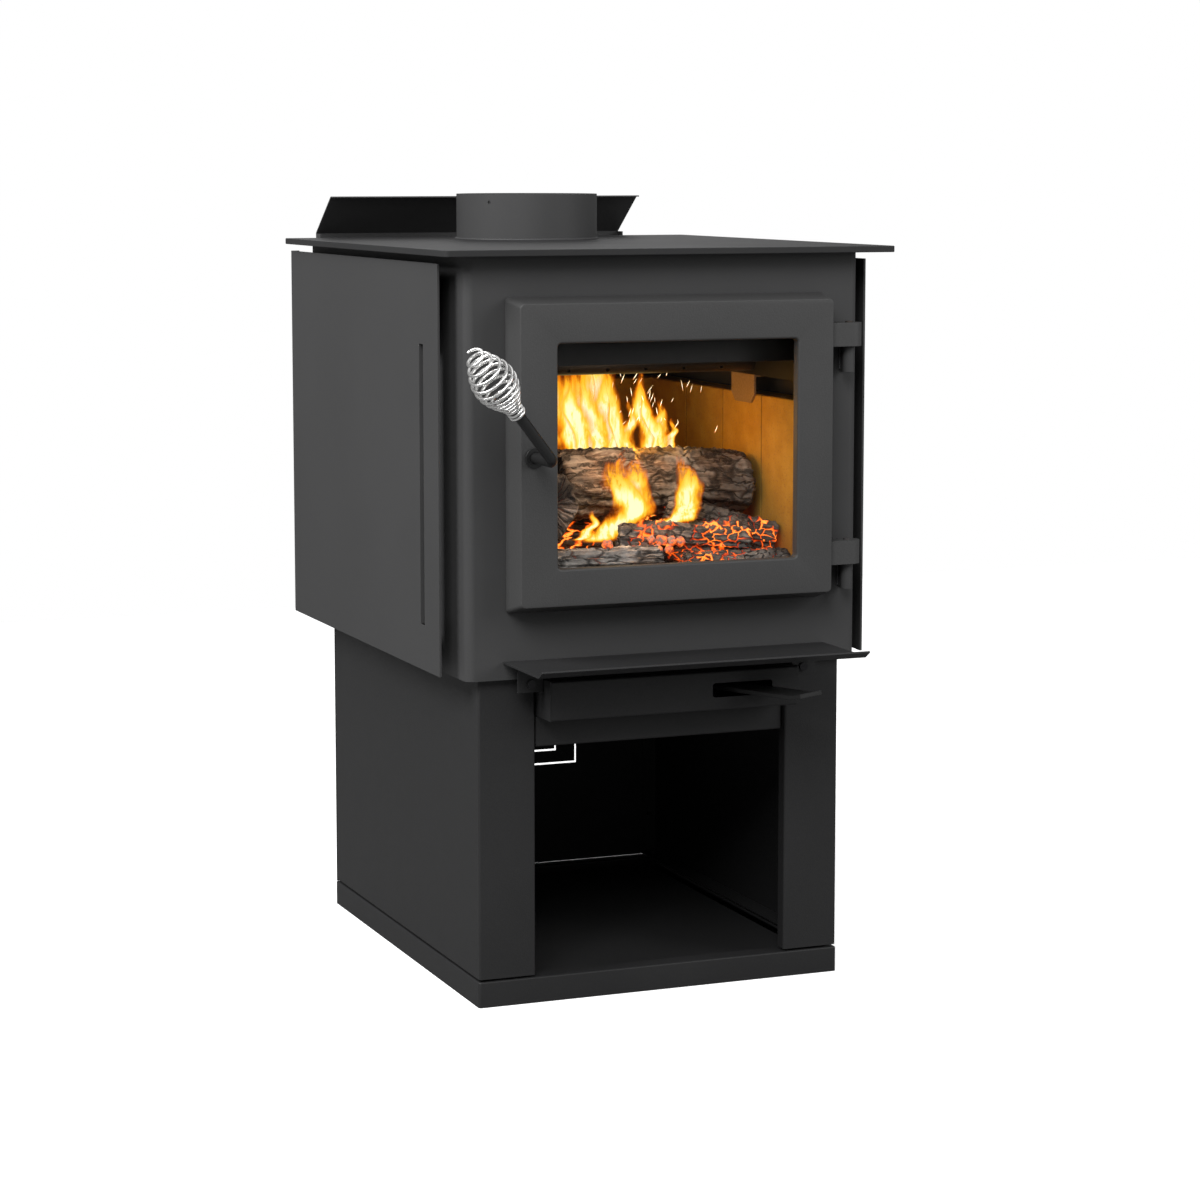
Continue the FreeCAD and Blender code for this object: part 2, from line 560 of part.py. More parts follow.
def make_side_shields():
    """Outer side panels: a hemmed front edge, and a tall vent slot with a lip turned in."""
    front = "(0 - shield_front)"
    end = f"({front} + shield_depth)"
    outer = f"({SHIELD_X} + shield_sheet)"
    top = f"({SHIELD_LOW} + shield_height)"
    path = [(outer, front), (outer, end), (f"{outer} - shield_hem", end)]
    panel = folded("shield_sheet_right", "z", SHIELD_LOW, top, path, "shield_sheet")
    hem = box("shield_hem_right", (f"{SHIELD_X} - shield_sheet", front, SHIELD_LOW),
              (SHIELD_X, f"{front} + shield_hem", top))
    vent_low = f"({SHIELD_LOW} + vent_rise)"
    vent_end = "(vent_width - vent_front)"
    vent = box("shield_vent_right", (f"{SHIELD_X} - 1", "0 - vent_front", vent_low),
               (f"{outer} + 1", vent_end, f"{vent_low} + vent_height"))
    lip = box("shield_lip_right", (f"{SHIELD_X} - vent_lip", vent_end, vent_low),
              (SHIELD_X, f"{vent_end} + shield_sheet", f"{vent_low} + vent_height"))
    right = fuse("shield_fused_right", [cut("shield_slotted_right", panel, [vent]), hem, lip])
    keep(right, "side_shield_right")
    keep(mirrored("shield_mirrored", right), "side_shield_left")


def make_side_brackets():
    """Brackets spot-welded inside the side shields, and the screws of every bracket."""
    made = []
    for i, spot in enumerate(BRACKET_SPOTS):
        for j, level in enumerate(BRACKET_LEVELS):
            name = f"side_bracket_{i}{j}"
            piece = z_bracket(name, SIDE, SHIELD_X, spot, level, "x")
            piece = drilled(f"{name}_drilled", piece, [side_wall_places(1)[2 * i + j]], (-1, 0, 0))
            made += [piece, mirrored(f"{name}_left", piece)]
    group("side_shield_brackets", made)
    left = screw_blanks("bracket_screw_left", side_wall_places(-1), (1, 0, 0), "wall_screw_length")
    right = screw_blanks("bracket_screw_right", side_wall_places(1), (-1, 0, 0), "wall_screw_length")
    rear = screw_blanks("bracket_screw_rear", rear_wall_places(), (0, -1, 0), "wall_screw_length")
    group("bracket_screws", left + right + rear)


def make_rear_shield():
    """Rear panel that stands off the firebox and leans forward over the top as a deflector."""
    top = f"({REAR_LOW} + rear_height)"
    tip_y, tip_z = f"({REAR_Y} - deflector_reach)", f"({top} + deflector_height)"
    half = "(rear_width / 2)"
    path = [(REAR_Y, REAR_LOW), (REAR_Y, top), (tip_y, tip_z), (f"{tip_y} - deflector_lip", tip_z)]
    path = [(f"{u} + rear_sheet", v) if i < 2 else (u, v) for i, (u, v) in enumerate(path)]
    panel = folded("rear_shield_sheet", "x", f"0 - {half}", half, path, "rear_sheet")
    sides = []
    for sign, word in ((-1, "left"), (1, "right")):
        edges = sorted((f"{sign} * {half}", f"{sign} * ({half} - rear_sheet)"), key=number)
        sides.append(box(f"rear_flange_{word}", (edges[0], f"{REAR_Y} - rear_side_flange", REAR_LOW),
                         (edges[1], f"{REAR_Y} + rear_sheet / 2", f"{top} - 1")))
    shield = fuse("rear_shield_blank", [panel] + sides)
    keep(drilled("rear_shield_drilled", shield, rear_shield_places(), (0, -1, 0)), "rear_shield")
    made = []
    for i, spot in enumerate(REAR_SPOTS):
        for j, level in enumerate(REAR_LEVELS):
            name = f"rear_bracket_{i}{j}"
            piece = z_bracket(name, BACK, REAR_Y, spot, level, "y")
            piece = drilled(f"{name}_wall_drilled", piece, [rear_wall_places()[2 * i + j]], (0, -1, 0))
            made.append(drilled(f"{name}_drilled", piece, [rear_shield_places()[2 * i + j]], (0, -1, 0)))
    group("rear_shield_brackets", made)
    screws("rear_shield_screws", rear_shield_places(), (0, -1, 0))


# ---------------------------------------------------------------- ash lip and air control

LIP_TOP = f"({FIREBOX_LOW} + lip_rise)"
EAR_Y = f"({FRONT} - ear_setback)"
EAR_LOW = f"({FIREBOX_LOW} - ear_drop)"
EAR_BOLTS = [(f"{side} * (air_box_width / 2 + ear_width / 2)", f"{EAR_Y} - lip_sheet",
              f"{EAR_LOW} + ear_height * lip_screw_share") for side in (-1, 1)]


def make_ash_lip():
    """Shelf under the door with its front edge turned up, and two tabs turned down to bolt on."""
    start = f"({FRONT} - lip_setback)"
    fold = f"({start} - lip_reach)"
    path = [(f"{fold} - lip_flange", f"{LIP_TOP} + lip_upturn - lip_sheet"), (fold, f"{LIP_TOP} - lip_sheet"),
            (start, f"{LIP_TOP} - lip_sheet")]
    shelf = folded("ash_lip_shelf", "x", "0 - lip_width / 2", "lip_width / 2", path, "lip_sheet")
    tabs = []
    for sign in (-1, 1):
        edges = sorted((f"{sign} * (air_box_width / 2 + ear_gap)",
                        f"{sign} * (air_box_width / 2 + ear_gap + ear_width)"), key=number)
        tabs.append(box(f"ash_lip_tab_{sign}", (edges[0], f"{EAR_Y} - lip_sheet", EAR_LOW),
                        (edges[1], EAR_Y, f"{LIP_TOP} - lip_sheet / 2")))
    lip = fuse("ash_lip_blank", [shelf] + tabs)
    keep(drilled("ash_lip_drilled", lip, EAR_BOLTS, (0, 1, 0)), "ash_lip")
    screws("ash_lip_screws", EAR_BOLTS, (0, 1, 0), "short_screw_length")


def make_air_box():
    """Folded air box under the front of the firebox, with the lever slot and a rear inlet."""
    half = "(air_box_width / 2)"
    path = [(f"{FRONT} + air_box_lap", FIREBOX_LOW), (AIR_BOX_FRONT, FIREBOX_LOW),
            (AIR_BOX_FRONT, AIR_BOX_LOW), (AIR_BOX_BACK, AIR_BOX_LOW), (AIR_BOX_BACK, FIREBOX_LOW),
            (f"{AIR_BOX_BACK} - air_box_lap", FIREBOX_LOW)]
    wrap = folded("air_box_wrap", "x", f"air_box_sheet - {half}", f"{half} - air_box_sheet", path,
                  "air_box_sheet")
    pieces = [wrap]
    for sign in (-1, 1):
        edges = sorted((f"{sign} * {half}", f"{sign} * ({half} - air_box_sheet)"), key=number)
        pieces.append(box(f"air_box_end_{sign}", (edges[0], f"{AIR_BOX_FRONT} + 0.4", AIR_BOX_LOW),
                          (edges[1], AIR_BOX_BACK, FIREBOX_LOW)))
        edges = sorted((f"{sign} * ({half} - air_box_sheet)", f"{sign} * ({half} + ear_width)"), key=number)
        pieces.append(box(f"air_box_ear_{sign}", (edges[0], EAR_Y, EAR_LOW),
                          (edges[1], f"{EAR_Y} + air_box_sheet", FIREBOX_LOW)))
    blank = fuse("air_box_blank", pieces)
    slot_low = f"({AIR_BOX_LOW} + slot_rise)"
    corners = block_outline(("slot_left", slot_low), ("slot_left + slot_width", f"{slot_low} + slot_height"))
    slot = padded("lever_slot", "y", f"{AIR_BOX_FRONT} - 1", f"{AIR_BOX_FRONT} + air_box_sheet + 1", corners)
    rounded(slot, "y", corners, "slot_corner")
    inlet_low = f"({AIR_BOX_LOW} + (air_box_height - inlet_height) / 2)"
    inlet = box("air_inlet", ("0 - inlet_width / 2", f"{AIR_BOX_BACK} - air_box_sheet - 1", inlet_low),
                ("inlet_width / 2", f"{AIR_BOX_BACK} + 1", f"{inlet_low} + inlet_height"))
    blank = cut("air_box_cut", blank, [slot, inlet])
    blank = drilled("air_box_drilled", blank, EAR_BOLTS, (0, 1, 0))
    keep(drilled("air_box_finished", blank, CROSS_SCREWS, (0, 0, 1)), "air_control_box")
    ring = cylinder("bush_outer", ("pivot_right", PIVOT_Y, f"{AIR_BOX_LOW} + air_box_sheet"), (0, 0, 1),
                    "pivot_radius + bush_wall", "bush_height")
    bore = cylinder("bush_bore", ("pivot_right", PIVOT_Y, f"{AIR_BOX_LOW} + air_box_sheet - 1"), (0, 0, 1),
                    "pivot_radius + running_clearance", "bush_height + 2")
    keep(cut("pivot_bush_ring", ring, [bore]), "pivot_bush")


def make_air_control():
    """Lever, pivot and damper plate: they turn together and slide the plate over the air port."""
    pivot = ("pivot_right", PIVOT_Y, "0")
    shaft_low = f"({AIR_BOX_LOW} + air_box_sheet + 0.4)"
    shaft = cylinder("pivot_shaft", ("pivot_right", PIVOT_Y, shaft_low), (0, 0, 1), "pivot_radius",
                     f"{FIREBOX_LOW} - 0.8 - {shaft_low}")
    keep(shaft, "air_pivot")
    end_y, tip_y = f"({PIVOT_Y} + lever_width / 2)", f"({PIVOT_Y} - lever_reach)"
    path = [(tip_y, f"{LEVER_LOW} + lever_tip_lift"), (f"{tip_y} + lever_tip", LEVER_LOW), (end_y, LEVER_LOW)]
    bar = folded("lever_bar", "x", "pivot_right - lever_width / 2", "pivot_right + lever_width / 2", path,
                 "lever_thick", "bend_radius * 4")
    hole = cylinder("lever_hole", ("pivot_right", PIVOT_Y, f"{LEVER_LOW} - 1"), (0, 0, 1), "pivot_radius",
                    "lever_thick + 2")
    lever = cut("lever_drilled", bar, [hole])
    keep(turned(lever, pivot, (0, 0, 1), number("lever_swing")), "air_lever")
    high = f"({FIREBOX_LOW} - air_box_sheet - damper_gap)"
    reach = "(port_centre + port_length / 2 + damper_overlap)"
    half = "(port_width / 2 + damper_overlap)"
    corners = block_outline((f"pivot_right - {reach}", f"{PIVOT_Y} - {half}"),
                            ("pivot_right + pivot_radius + damper_overlap", f"{PIVOT_Y} + {half}"))
    plate = padded("damper_blank", "z", f"{high} - damper_thick", high, corners)
    rounded(plate, "z", corners, "damper_corner")
    hole = cylinder("damper_hole", ("pivot_right", PIVOT_Y, f"{high} - damper_thick - 1"), (0, 0, 1),
                    "pivot_radius", "damper_thick + 2")
    keep(turned(cut("damper_drilled", plate, [hole]), pivot, (0, 0, 1), number("lever_swing")),
         "damper_plate")


# ---------------------------------------------------------------- combustion chamber

CHAMBER_BACK = f"({INNER_BACK} - brick_back_gap)"
BRICK_FACE = f"({CHAMBER_BACK} - brick_thick)"
BRICK_PITCH = "(brick_width + brick_joint)"
WALL_LOW = f"({BRICK_BED} + brick_joint)"
MANIFOLD_LOW = f"({WALL_LOW} + brick_height + retainer_height)"
TUBE_Z = f"({MANIFOLD_LOW} + manifold_height / 2)"
BAFFLE_LOW = f"({MANIFOLD_LOW} + manifold_height)"


def soft_brick(name, low, high):
    """Firebrick with slightly broken edges."""
    brick = add("Part::Chamfer", name)
    brick.Base = box(f"{name}_block", low, high)
    document.recompute()
    edge = number("brick_chamfer")
    brick.Edges = [(i + 1, edge, edge) for i in range(12)]
    return brick


REAR_BRICKS = 4


def make_bricks():
    """Firebrick lining: a bed of bricks on the floor, and standing bricks at the sides and back."""
    bed, walls, rear = [], {-1: [], 1: []}, []
    columns = int(number(f"2 * {INNER_SIDE} / {BRICK_PITCH}"))
    rows = int(number(f"({CHAMBER_BACK} - {INNER_FRONT}) / (brick_height + brick_joint)"))
    for i in range(columns):
        for j in range(rows):
            low_x = f"(({i} - {columns} / 2) * {BRICK_PITCH})"
            high_y = f"({CHAMBER_BACK} - {j} * (brick_height + brick_joint))"
            bed.append(soft_brick(f"bed_brick_{i}_{j}", (low_x, f"{high_y} - brick_height", FLOOR_TOP),
                                  (f"{low_x} + brick_width", high_y, BRICK_BED)))
    count = int(number(f"({BRICK_FACE} - {INNER_FRONT}) / {BRICK_PITCH}"))
    for side in (-1, 1):
        for i in range(count):
            high_y = f"({BRICK_FACE} - {i} * {BRICK_PITCH})"
            edges = sorted((f"{side} * {INNER_SIDE}", f"{side} * ({INNER_SIDE} - brick_thick)"), key=number)
            walls[side].append(soft_brick(f"wall_brick_{side}_{i}",
                                          (edges[0], f"{high_y} - brick_width", WALL_LOW),
                                          (edges[1], high_y, f"{WALL_LOW} + brick_height")))
    pitch = f"(2 * {INNER_SIDE} / {REAR_BRICKS})"
    for i in range(REAR_BRICKS):
        low_x = f"(({i} - {REAR_BRICKS} / 2) * {pitch} + brick_joint / 2)"
        rear.append(soft_brick(f"rear_brick_{i}", (low_x, f"{BRICK_FACE} + brick_joint", WALL_LOW),
                               (f"{low_x} + {pitch} - brick_joint", CHAMBER_BACK,
                                f"{WALL_LOW} + brick_height")))
    group("floor_bricks", bed)
    group("wall_bricks_left", walls[-1])
    group("wall_bricks_right", walls[1])
    group("rear_bricks", rear)


def make_brick_retainers():
    """Clips under the air manifolds that keep the wall bricks from tipping in."""
    face = f"({INNER_SIDE} - brick_thick)"
    low = f"({MANIFOLD_LOW} - retainer_height - retainer_lap)"
    centre = f"({BRICK_FACE} - retainer_place * {BRICK_PITCH})"
    start, end = f"({centre} - retainer_width / 2)", f"({centre} + retainer_width / 2)"
    slope = "retainer_lap"
    outline = [(f"{start} + {slope}", low), (f"{end} - {slope}", low), (end, f"{low} + {slope}"),
               (end, MANIFOLD_LOW), (start, MANIFOLD_LOW), (start, f"{low} + {slope}")]
    plate = padded("retainer_plate_right", "x", f"{face} - retainer_sheet", face, outline)
    shelf = box("retainer_shelf_right",
                (f"{face} - retainer_sheet / 2", start, f"{MANIFOLD_LOW} - retainer_sheet"),
                (INNER_SIDE, end, MANIFOLD_LOW))
    right = fuse("retainer_right", [plate, shelf])
    group("brick_retainers", [right, mirrored("retainer_left", right)])


TUBES = 3
TUBE_JETS = 7
PILOT_JETS = 3
JET_WAY = (0, -0.8, -0.6)


def make_air_system():
    """Rear air duct, side manifolds, burn tubes, baffle, blanket, air-wash plate and pilot hood."""
    duct = box("rear_duct_outer", ("0 - duct_width / 2", f"{CHAMBER_BACK} + brick_joint", FLOOR_TOP),
               ("duct_width / 2", INNER_BACK, f"{MANIFOLD_LOW} + manifold_height"))
    duct_in = box("rear_duct_inner",
                  ("manifold_plate - duct_width / 2", f"{CHAMBER_BACK} + brick_joint + manifold_plate",
                                      f"{FLOOR_TOP} - 1"),
                  ("duct_width / 2 - manifold_plate", f"{INNER_BACK} + 1",
                   f"{MANIFOLD_LOW} + manifold_height - manifold_plate"))
    keep(cut("rear_duct_shell", duct, [duct_in]), "rear_air_duct")
    front = f"({INNER_FRONT} + manifold_setback)"
    tubes = [f"({BRICK_FACE} - tube_setback - {i} * tube_pitch)" for i in range(TUBES)]
    for side, word in ((-1, "left"), (1, "right")):
        edges = sorted((f"{side} * {INNER_SIDE}", f"{side} * ({INNER_SIDE} - manifold_depth)"), key=number)
        outer = box(f"manifold_outer_{word}", (edges[0], front, MANIFOLD_LOW),
                    (edges[1], CHAMBER_BACK, f"{MANIFOLD_LOW} + manifold_height"))
        inner = box(f"manifold_inner_{word}",
                    (f"{edges[0]} + manifold_plate", f"{front} + manifold_plate",
                     f"{MANIFOLD_LOW} + manifold_plate"),
                    (f"{edges[1]} - manifold_plate", f"{CHAMBER_BACK} - manifold_plate",
                     f"{MANIFOLD_LOW} + manifold_height - manifold_plate"))
        inward = (-side, 0, 0)
        ports = [cylinder(f"manifold_port_{word}_{i}",
                          (f"{side} * ({INNER_SIDE} - manifold_depth + 2 * manifold_plate)", y, TUBE_Z),
                          inward, "tube_diameter / 2 + tube_play", "3 * manifold_plate") for i,
                          y in enumerate(tubes)]
        keep(cut(f"manifold_shell_{word}", outer, [inner] + ports), f"air_manifold_{word}")
    made = []
    half = f"({INNER_SIDE} - manifold_depth + manifold_plate)"
    for i, y in enumerate(tubes):
        name = f"burn_tube_{i}"
        outer = cylinder(f"{name}_outer", (f"0 - {half}", y, TUBE_Z), (1, 0, 0), "tube_diameter / 2",
                         f"2 * {half}")
        bore = cylinder(f"{name}_bore", (f"0 - {half} - 1", y, TUBE_Z), (1, 0, 0),
                        "tube_diameter / 2 - tube_wall",
                        f"2 * {half} + 2")
        jets = [cylinder(f"{name}_jet_{k}", (f"({k} - {(TUBE_JETS - 1) / 2}) * tube_jet_pitch", y, TUBE_Z),
                         JET_WAY,
                         "tube_jet / 2", "tube_diameter") for k in range(TUBE_JETS)]
        made.append(cut(name, outer, [bore] + jets))
    group("burn_tubes", made)
    baffle_front = f"({tubes[-1]} - tube_diameter)"
    boards = []
    for side in (-1, 1):
        edges = sorted((f"{side} * ({INNER_SIDE} - 1)", f"{side} * brick_joint / 2"), key=number)
        boards.append(box(f"baffle_board_{side}", (edges[0], baffle_front, BAFFLE_LOW),
                          (edges[1], f"{INNER_BACK} - 1", f"{BAFFLE_LOW} + baffle_thick")))
    group("baffle_boards", boards)
    keep(box("blanket_board", (f"2 - {INNER_SIDE}", f"{baffle_front} + 2", f"{BAFFLE_LOW} + baffle_thick"),
             (f"{INNER_SIDE} - 2", f"{INNER_BACK} - 2", f"{BAFFLE_LOW} + baffle_thick + blanket_thick")),
             "baffle_blanket")
    wash_y, wash_low = f"({INNER_FRONT} + airwash_gap + airwash_plate)", f"({FIREBOX_LOW} + airwash_rise)"
    wash_top = f"({wash_low} + airwash_height)"
    wash_half = "(firebox_width / 2 - firebox_corner - 1)"
    wash = folded("airwash_sheet", "x", f"0 - {wash_half}", wash_half,
                  [(wash_y, wash_low), (wash_y, wash_top), (INNER_FRONT, wash_top)], "airwash_plate")
    keep(wash, "airwash_deflector")
    low_x = f"({PORT_X} - port_length / 2 - hood_margin)"
    high_x = f"({PORT_X} + port_length / 2 + hood_margin)"
    low_y = f"({PIVOT_Y} - port_width / 2 - hood_wall)"
    high_y = f"({PIVOT_Y} + port_width / 2 + hood_wall)"
    hood = box("pilot_hood_outer", (low_x, low_y, FLOOR_TOP), (high_x, high_y, f"{BRICK_BED} + hood_rise"))
    hollow = box("pilot_hood_inner", (f"{low_x} + hood_wall", f"{low_y} + hood_wall", f"{FLOOR_TOP} - 1"),
                 (f"{high_x} - hood_wall", f"{high_y} - hood_wall", f"{BRICK_BED} + hood_rise - hood_wall"))
    jets = [cylinder(f"pilot_jet_{k}", (f"{PORT_X} + {k - 1} * pilot_pitch", f"{high_y} - 2 * hood_wall",
                                        f"{BRICK_BED} + hood_rise / 2"),
                     (0, 1, 0), "pilot_jet / 2", "3 * hood_wall") for k in range(PILOT_JETS)]
    keep(cut("pilot_hood_shell", hood, [hollow] + jets), "pilot_air_hood")


# ---------------------------------------------------------------- door

GLASS_FRONT = f"({DOOR_FACE} + window_lip + gasket_thick)"
GLASS_HALF = "(window_width / 2 + glass_overlap)"
GLASS_LOW = f"({WINDOW_LOW} - glass_overlap)"
GLASS_HIGH = f"({WINDOW_LOW} + window_height + glass_overlap)"
RETAINER_SCREWS = [(f"{k} * window_width * clip_screw_share", f"{GLASS_BACK} + retainer_plate", level)
                   for level in (f"{GLASS_LOW} - recess_gap - retainer_bar / 2 + 1",
                                 f"{GLASS_HIGH} + recess_gap + retainer_bar / 2 - 1") for k in (-1, 0, 1)]


def edges_on(shape, test):
    return [i for i, edge in enumerate(shape.Edges, 1) if all(test(vertex.Point) for vertex in edge.Vertexes)]


def make_door_frame():
    """Cast door: a flat face whose sides flare out to the back, a window and stepped recesses."""
    body = add("Part::Wedge", "door_wedge")
    spans = {"Xmin": "0 - door_width / 2", "Xmax": "door_width / 2",
             "Ymin": DOOR_FACE, "Ymax": DOOR_BACK, "Zmin": DOOR_LOW, "Zmax": f"{DOOR_LOW} + door_height",
             "X2min": "0 - door_width / 2 - door_flare_side", "X2max": "door_width / 2 + door_flare_side",
             "Z2min": f"{DOOR_LOW} - door_flare_low", "Z2max": f"{DOOR_LOW} + door_height + door_flare_top"}
    for word, place in spans.items():
        body.setExpression(word, bind(place))
    document.recompute()
    face, back = number(DOOR_FACE), number(DOOR_BACK)
    corner = number("door_corner")
    slanted = [i for i, edge in enumerate(body.Shape.Edges, 1)
               if abs(edge.Vertexes[0].Y - edge.Vertexes[1].Y) > 1]
    soft = add("Part::Fillet", "door_corners")
    soft.Base = body
    soft.Edges = [(i, corner, corner) for i in slanted]
    window = block_outline(("0 - window_width / 2", WINDOW_LOW),
                           ("window_width / 2", f"{WINDOW_LOW} + window_height"))
    opening = padded("window_opening", "y", f"{DOOR_FACE} - 1", f"{DOOR_BACK} + 1", window)
    rounded(opening, "y", window, "window_corner")
    seat = box("glass_seat", (f"0 - {GLASS_HALF} - recess_gap", f"{DOOR_FACE} + window_lip",
                              f"{GLASS_LOW} - recess_gap"),
               (f"{GLASS_HALF} + recess_gap", f"{DOOR_BACK} + 1", f"{GLASS_HIGH} + recess_gap"))
    ledge = box("retainer_seat", (f"0 - {GLASS_HALF} - recess_gap", GLASS_BACK,
                                  f"{GLASS_LOW} - recess_gap - retainer_bar"),
                (f"{GLASS_HALF} + recess_gap", f"{DOOR_BACK} + 1",
                 f"{GLASS_HIGH} + recess_gap + retainer_bar"))
    groove = rope_ring("rope_groove", "0", "1")
    bore = cylinder("shaft_bore", (SHAFT_X, f"{DOOR_FACE} - 1", SHAFT_Z), (0, 1, 0),
                    "shaft_diameter / 2 + running_clearance", "door_thick + 2")
    frame = cut("door_cut", soft, [opening, seat, ledge, groove, bore])
    frame = drilled("door_drilled", frame, RETAINER_SCREWS, (0, -1, 0), "retainer_screw_length")
    document.recompute()
    rims = edges_on(frame.Shape, lambda point: abs(point.y - face) < 1e-5)
    half_x, middle = number("door_width") / 2, number(f"{DOOR_LOW} + door_height / 2")
    finished = add("Part::Fillet", "door_finished")
    finished.Base = frame
    picks = []
    for i in rims:
        point = frame.Shape.Edges[i - 1].CenterOfMass
        if abs(point.x - number(SHAFT_X)) < 8 and abs(point.z - number(SHAFT_Z)) < 8:
            continue
        outside = abs(point.x) > half_x - 12 or abs(point.z - middle) > number("door_height") / 2 - 12
        size = number("door_face_edge" if outside else "window_edge")
        picks.append((i, size, size))
    finished.Edges = picks
    keep(finished, "door_frame")
    return soft


def ring(name, half, low, high, width, start, end):
    """Rectangular ring between two Y places."""
    outer = box(f"{name}_outer", (f"0 - {half}", start, low), (half, end, high))
    inner = box(f"{name}_inner", (f"{width} - {half}", f"{start} - 1", f"{low} + {width}"),
                (f"{half} - {width}", f"{end} + 1", f"{high} - {width}"))
    return cut(name, outer, [inner])


def rope_ring(name, ahead, behind):
    """Door rope, or the groove that takes it, round the back rim of the door."""
    half = "(door_width / 2 + door_flare_side - rope_rim)"
    low = f"({DOOR_LOW} - door_flare_low + rope_rim)"
    high = f"({DOOR_LOW} + door_height + door_flare_top - rope_rim)"
    return ring(name, half, low, high, "rope_width", f"({DOOR_BACK} - rope_groove - {ahead})",
                f"({DOOR_BACK} + {behind})")


def make_door_fittings():
    """Glass with its gasket and retainers, and the rope seal."""
    keep(box("glass_pane", (f"0 - {GLASS_HALF}", GLASS_FRONT, GLASS_LOW),
             (GLASS_HALF, GLASS_BACK, GLASS_HIGH)), "door_glass")
    keep(ring("gasket_ring", GLASS_HALF, GLASS_LOW, GLASS_HIGH, "(glass_overlap - 2)",
              f"({DOOR_FACE} + window_lip)",
              GLASS_FRONT), "glass_gasket")
    bars = []
    for word, low, high in (("low", f"{GLASS_LOW} - recess_gap - retainer_bar + 1",
                             f"{GLASS_LOW} + glass_overlap / 2"),
                            ("top", f"{GLASS_HIGH} - glass_overlap / 2",
                             f"{GLASS_HIGH} + recess_gap + retainer_bar - 1")):
        bar = box(f"retainer_bar_{word}", (f"1 - {GLASS_HALF}", GLASS_BACK, low),
                  (f"{GLASS_HALF} - 1", f"{GLASS_BACK} + retainer_plate", high))
        places = RETAINER_SCREWS[:3] if word == "low" else RETAINER_SCREWS[3:]
        bars.append(drilled(f"retainer_{word}", bar, places, (0, -1, 0)))
    group("glass_retainers", bars)
    screws("glass_retainer_screws", RETAINER_SCREWS, (0, -1, 0), "retainer_screw_length")
    keep(rope_ring("rope_seal_ring", "0", "door_gap - rope_gap"), "door_rope_gasket")


def make_hinges(door_solid):
    """Lift-off hinges: a lug on the door over a barrel and pin welded to the firebox front."""
    pins = []
    for i, word in enumerate(("lower", "upper")):
        low = f"({FIREBOX_LOW} + hinge_low + {i} * hinge_spacing)"
        high = f"({low} + lug_height)"
        arm = box(f"lug_arm_{word}", ("door_width / 2 - 4", f"{HINGE_Y} - lug_thick / 2", low),
                  (HINGE_X, f"{HINGE_Y} + lug_thick / 2", high))
        eye = cylinder(f"lug_eye_{word}", (HINGE_X, HINGE_Y, low), (0, 0, 1), "lug_thick / 2", "lug_height")
        bore = cylinder(f"lug_bore_{word}", (HINGE_X, HINGE_Y, f"{low} - 1"), (0, 0, 1),
                        "pin_diameter / 2 + running_clearance", "lug_height + 2")
        keep(cut(f"lug_{word}", fuse(f"lug_blank_{word}", [arm, eye]), [bore, door_solid]),
             f"hinge_lug_{word}")
        barrel_top = f"({low} - barrel_gap)"
        barrel_low = f"({barrel_top} - barrel_height)"
        tube = cylinder(f"barrel_tube_{word}", (HINGE_X, HINGE_Y, barrel_low), (0, 0, 1),
                        "barrel_diameter / 2", "barrel_height")
        web = box(f"barrel_web_{word}", (f"{HINGE_X} - web_thick / 2", HINGE_Y, barrel_low),
                  (f"{HINGE_X} + web_thick / 2", FRONT, barrel_top))
        hole = cylinder(f"barrel_hole_{word}", (HINGE_X, HINGE_Y, f"{barrel_low} - 1"), (0, 0, 1),
                        "pin_diameter / 2",
                        "barrel_height + 2")
        keep(cut(f"barrel_{word}", fuse(f"barrel_blank_{word}", [tube, web]), [hole]), f"hinge_barrel_{word}")
        pins.append(cylinder(f"pin_{word}", (HINGE_X, HINGE_Y, barrel_low), (0, 0, 1), "pin_diameter / 2",
                             "barrel_height + barrel_gap + lug_height + pin_head"))
    group("hinge_pins", pins)


# ---------------------------------------------------------------- handle and latch

FINGER_FRONT = f"({INNER_FRONT} + keeper_thick + finger_clearance)"


def rod_way():
    """Unit vector along the rod above its elbow."""
    tilt, lean = math.radians(number("rod_tilt")), math.radians(number("rod_lean"))
    return V(-math.sin(tilt) * math.cos(lean), -math.sin(lean), math.cos(tilt) * math.cos(lean))


def elbow():
    return V(number(SHAFT_X), number(f"{FRONT} - elbow_forward"), number(SHAFT_Z))


def make_handle():
    """Bent rod: straight through the door, then up and out to the grip, with a turned-down end."""
    radius = number("shaft_diameter") / 2
    out, up, corner = V(0, -1, 0), rod_way(), elbow()
    turn = out.getAngle(up)
    setback = number("elbow_radius") * math.tan(turn / 2)
    middle = (up - out).normalize() * number("elbow_radius") * (1 / math.cos(turn / 2) - 1)
    start = V(corner.x, number(FINGER_FRONT), corner.z)
    bend_in, bend_out = corner - out * setback, corner + up * setback
    end = corner + up * number("rod_length")
    path = Part.Wire([Part.LineSegment(start, bend_in).toShape(),
                      Part.Arc(bend_in, corner + middle, bend_out).toShape(),
                      Part.LineSegment(bend_out, end).toShape()])
    section = Part.Wire([Part.Circle(start, out, radius).toShape()])
    bar = add("Part::Feature", "handle_bar")
    bar.Shape = path.makePipeShell([section], True, True)
    spigot = cylinder("handle_spigot", (SHAFT_X, FINGER_FRONT, SHAFT_Z), (0, 1, 0), "spigot_diameter / 2",
                      "finger_thick + nut_thick + 2")
    keep(fuse("handle_fused", [bar, spigot]), "handle_rod")


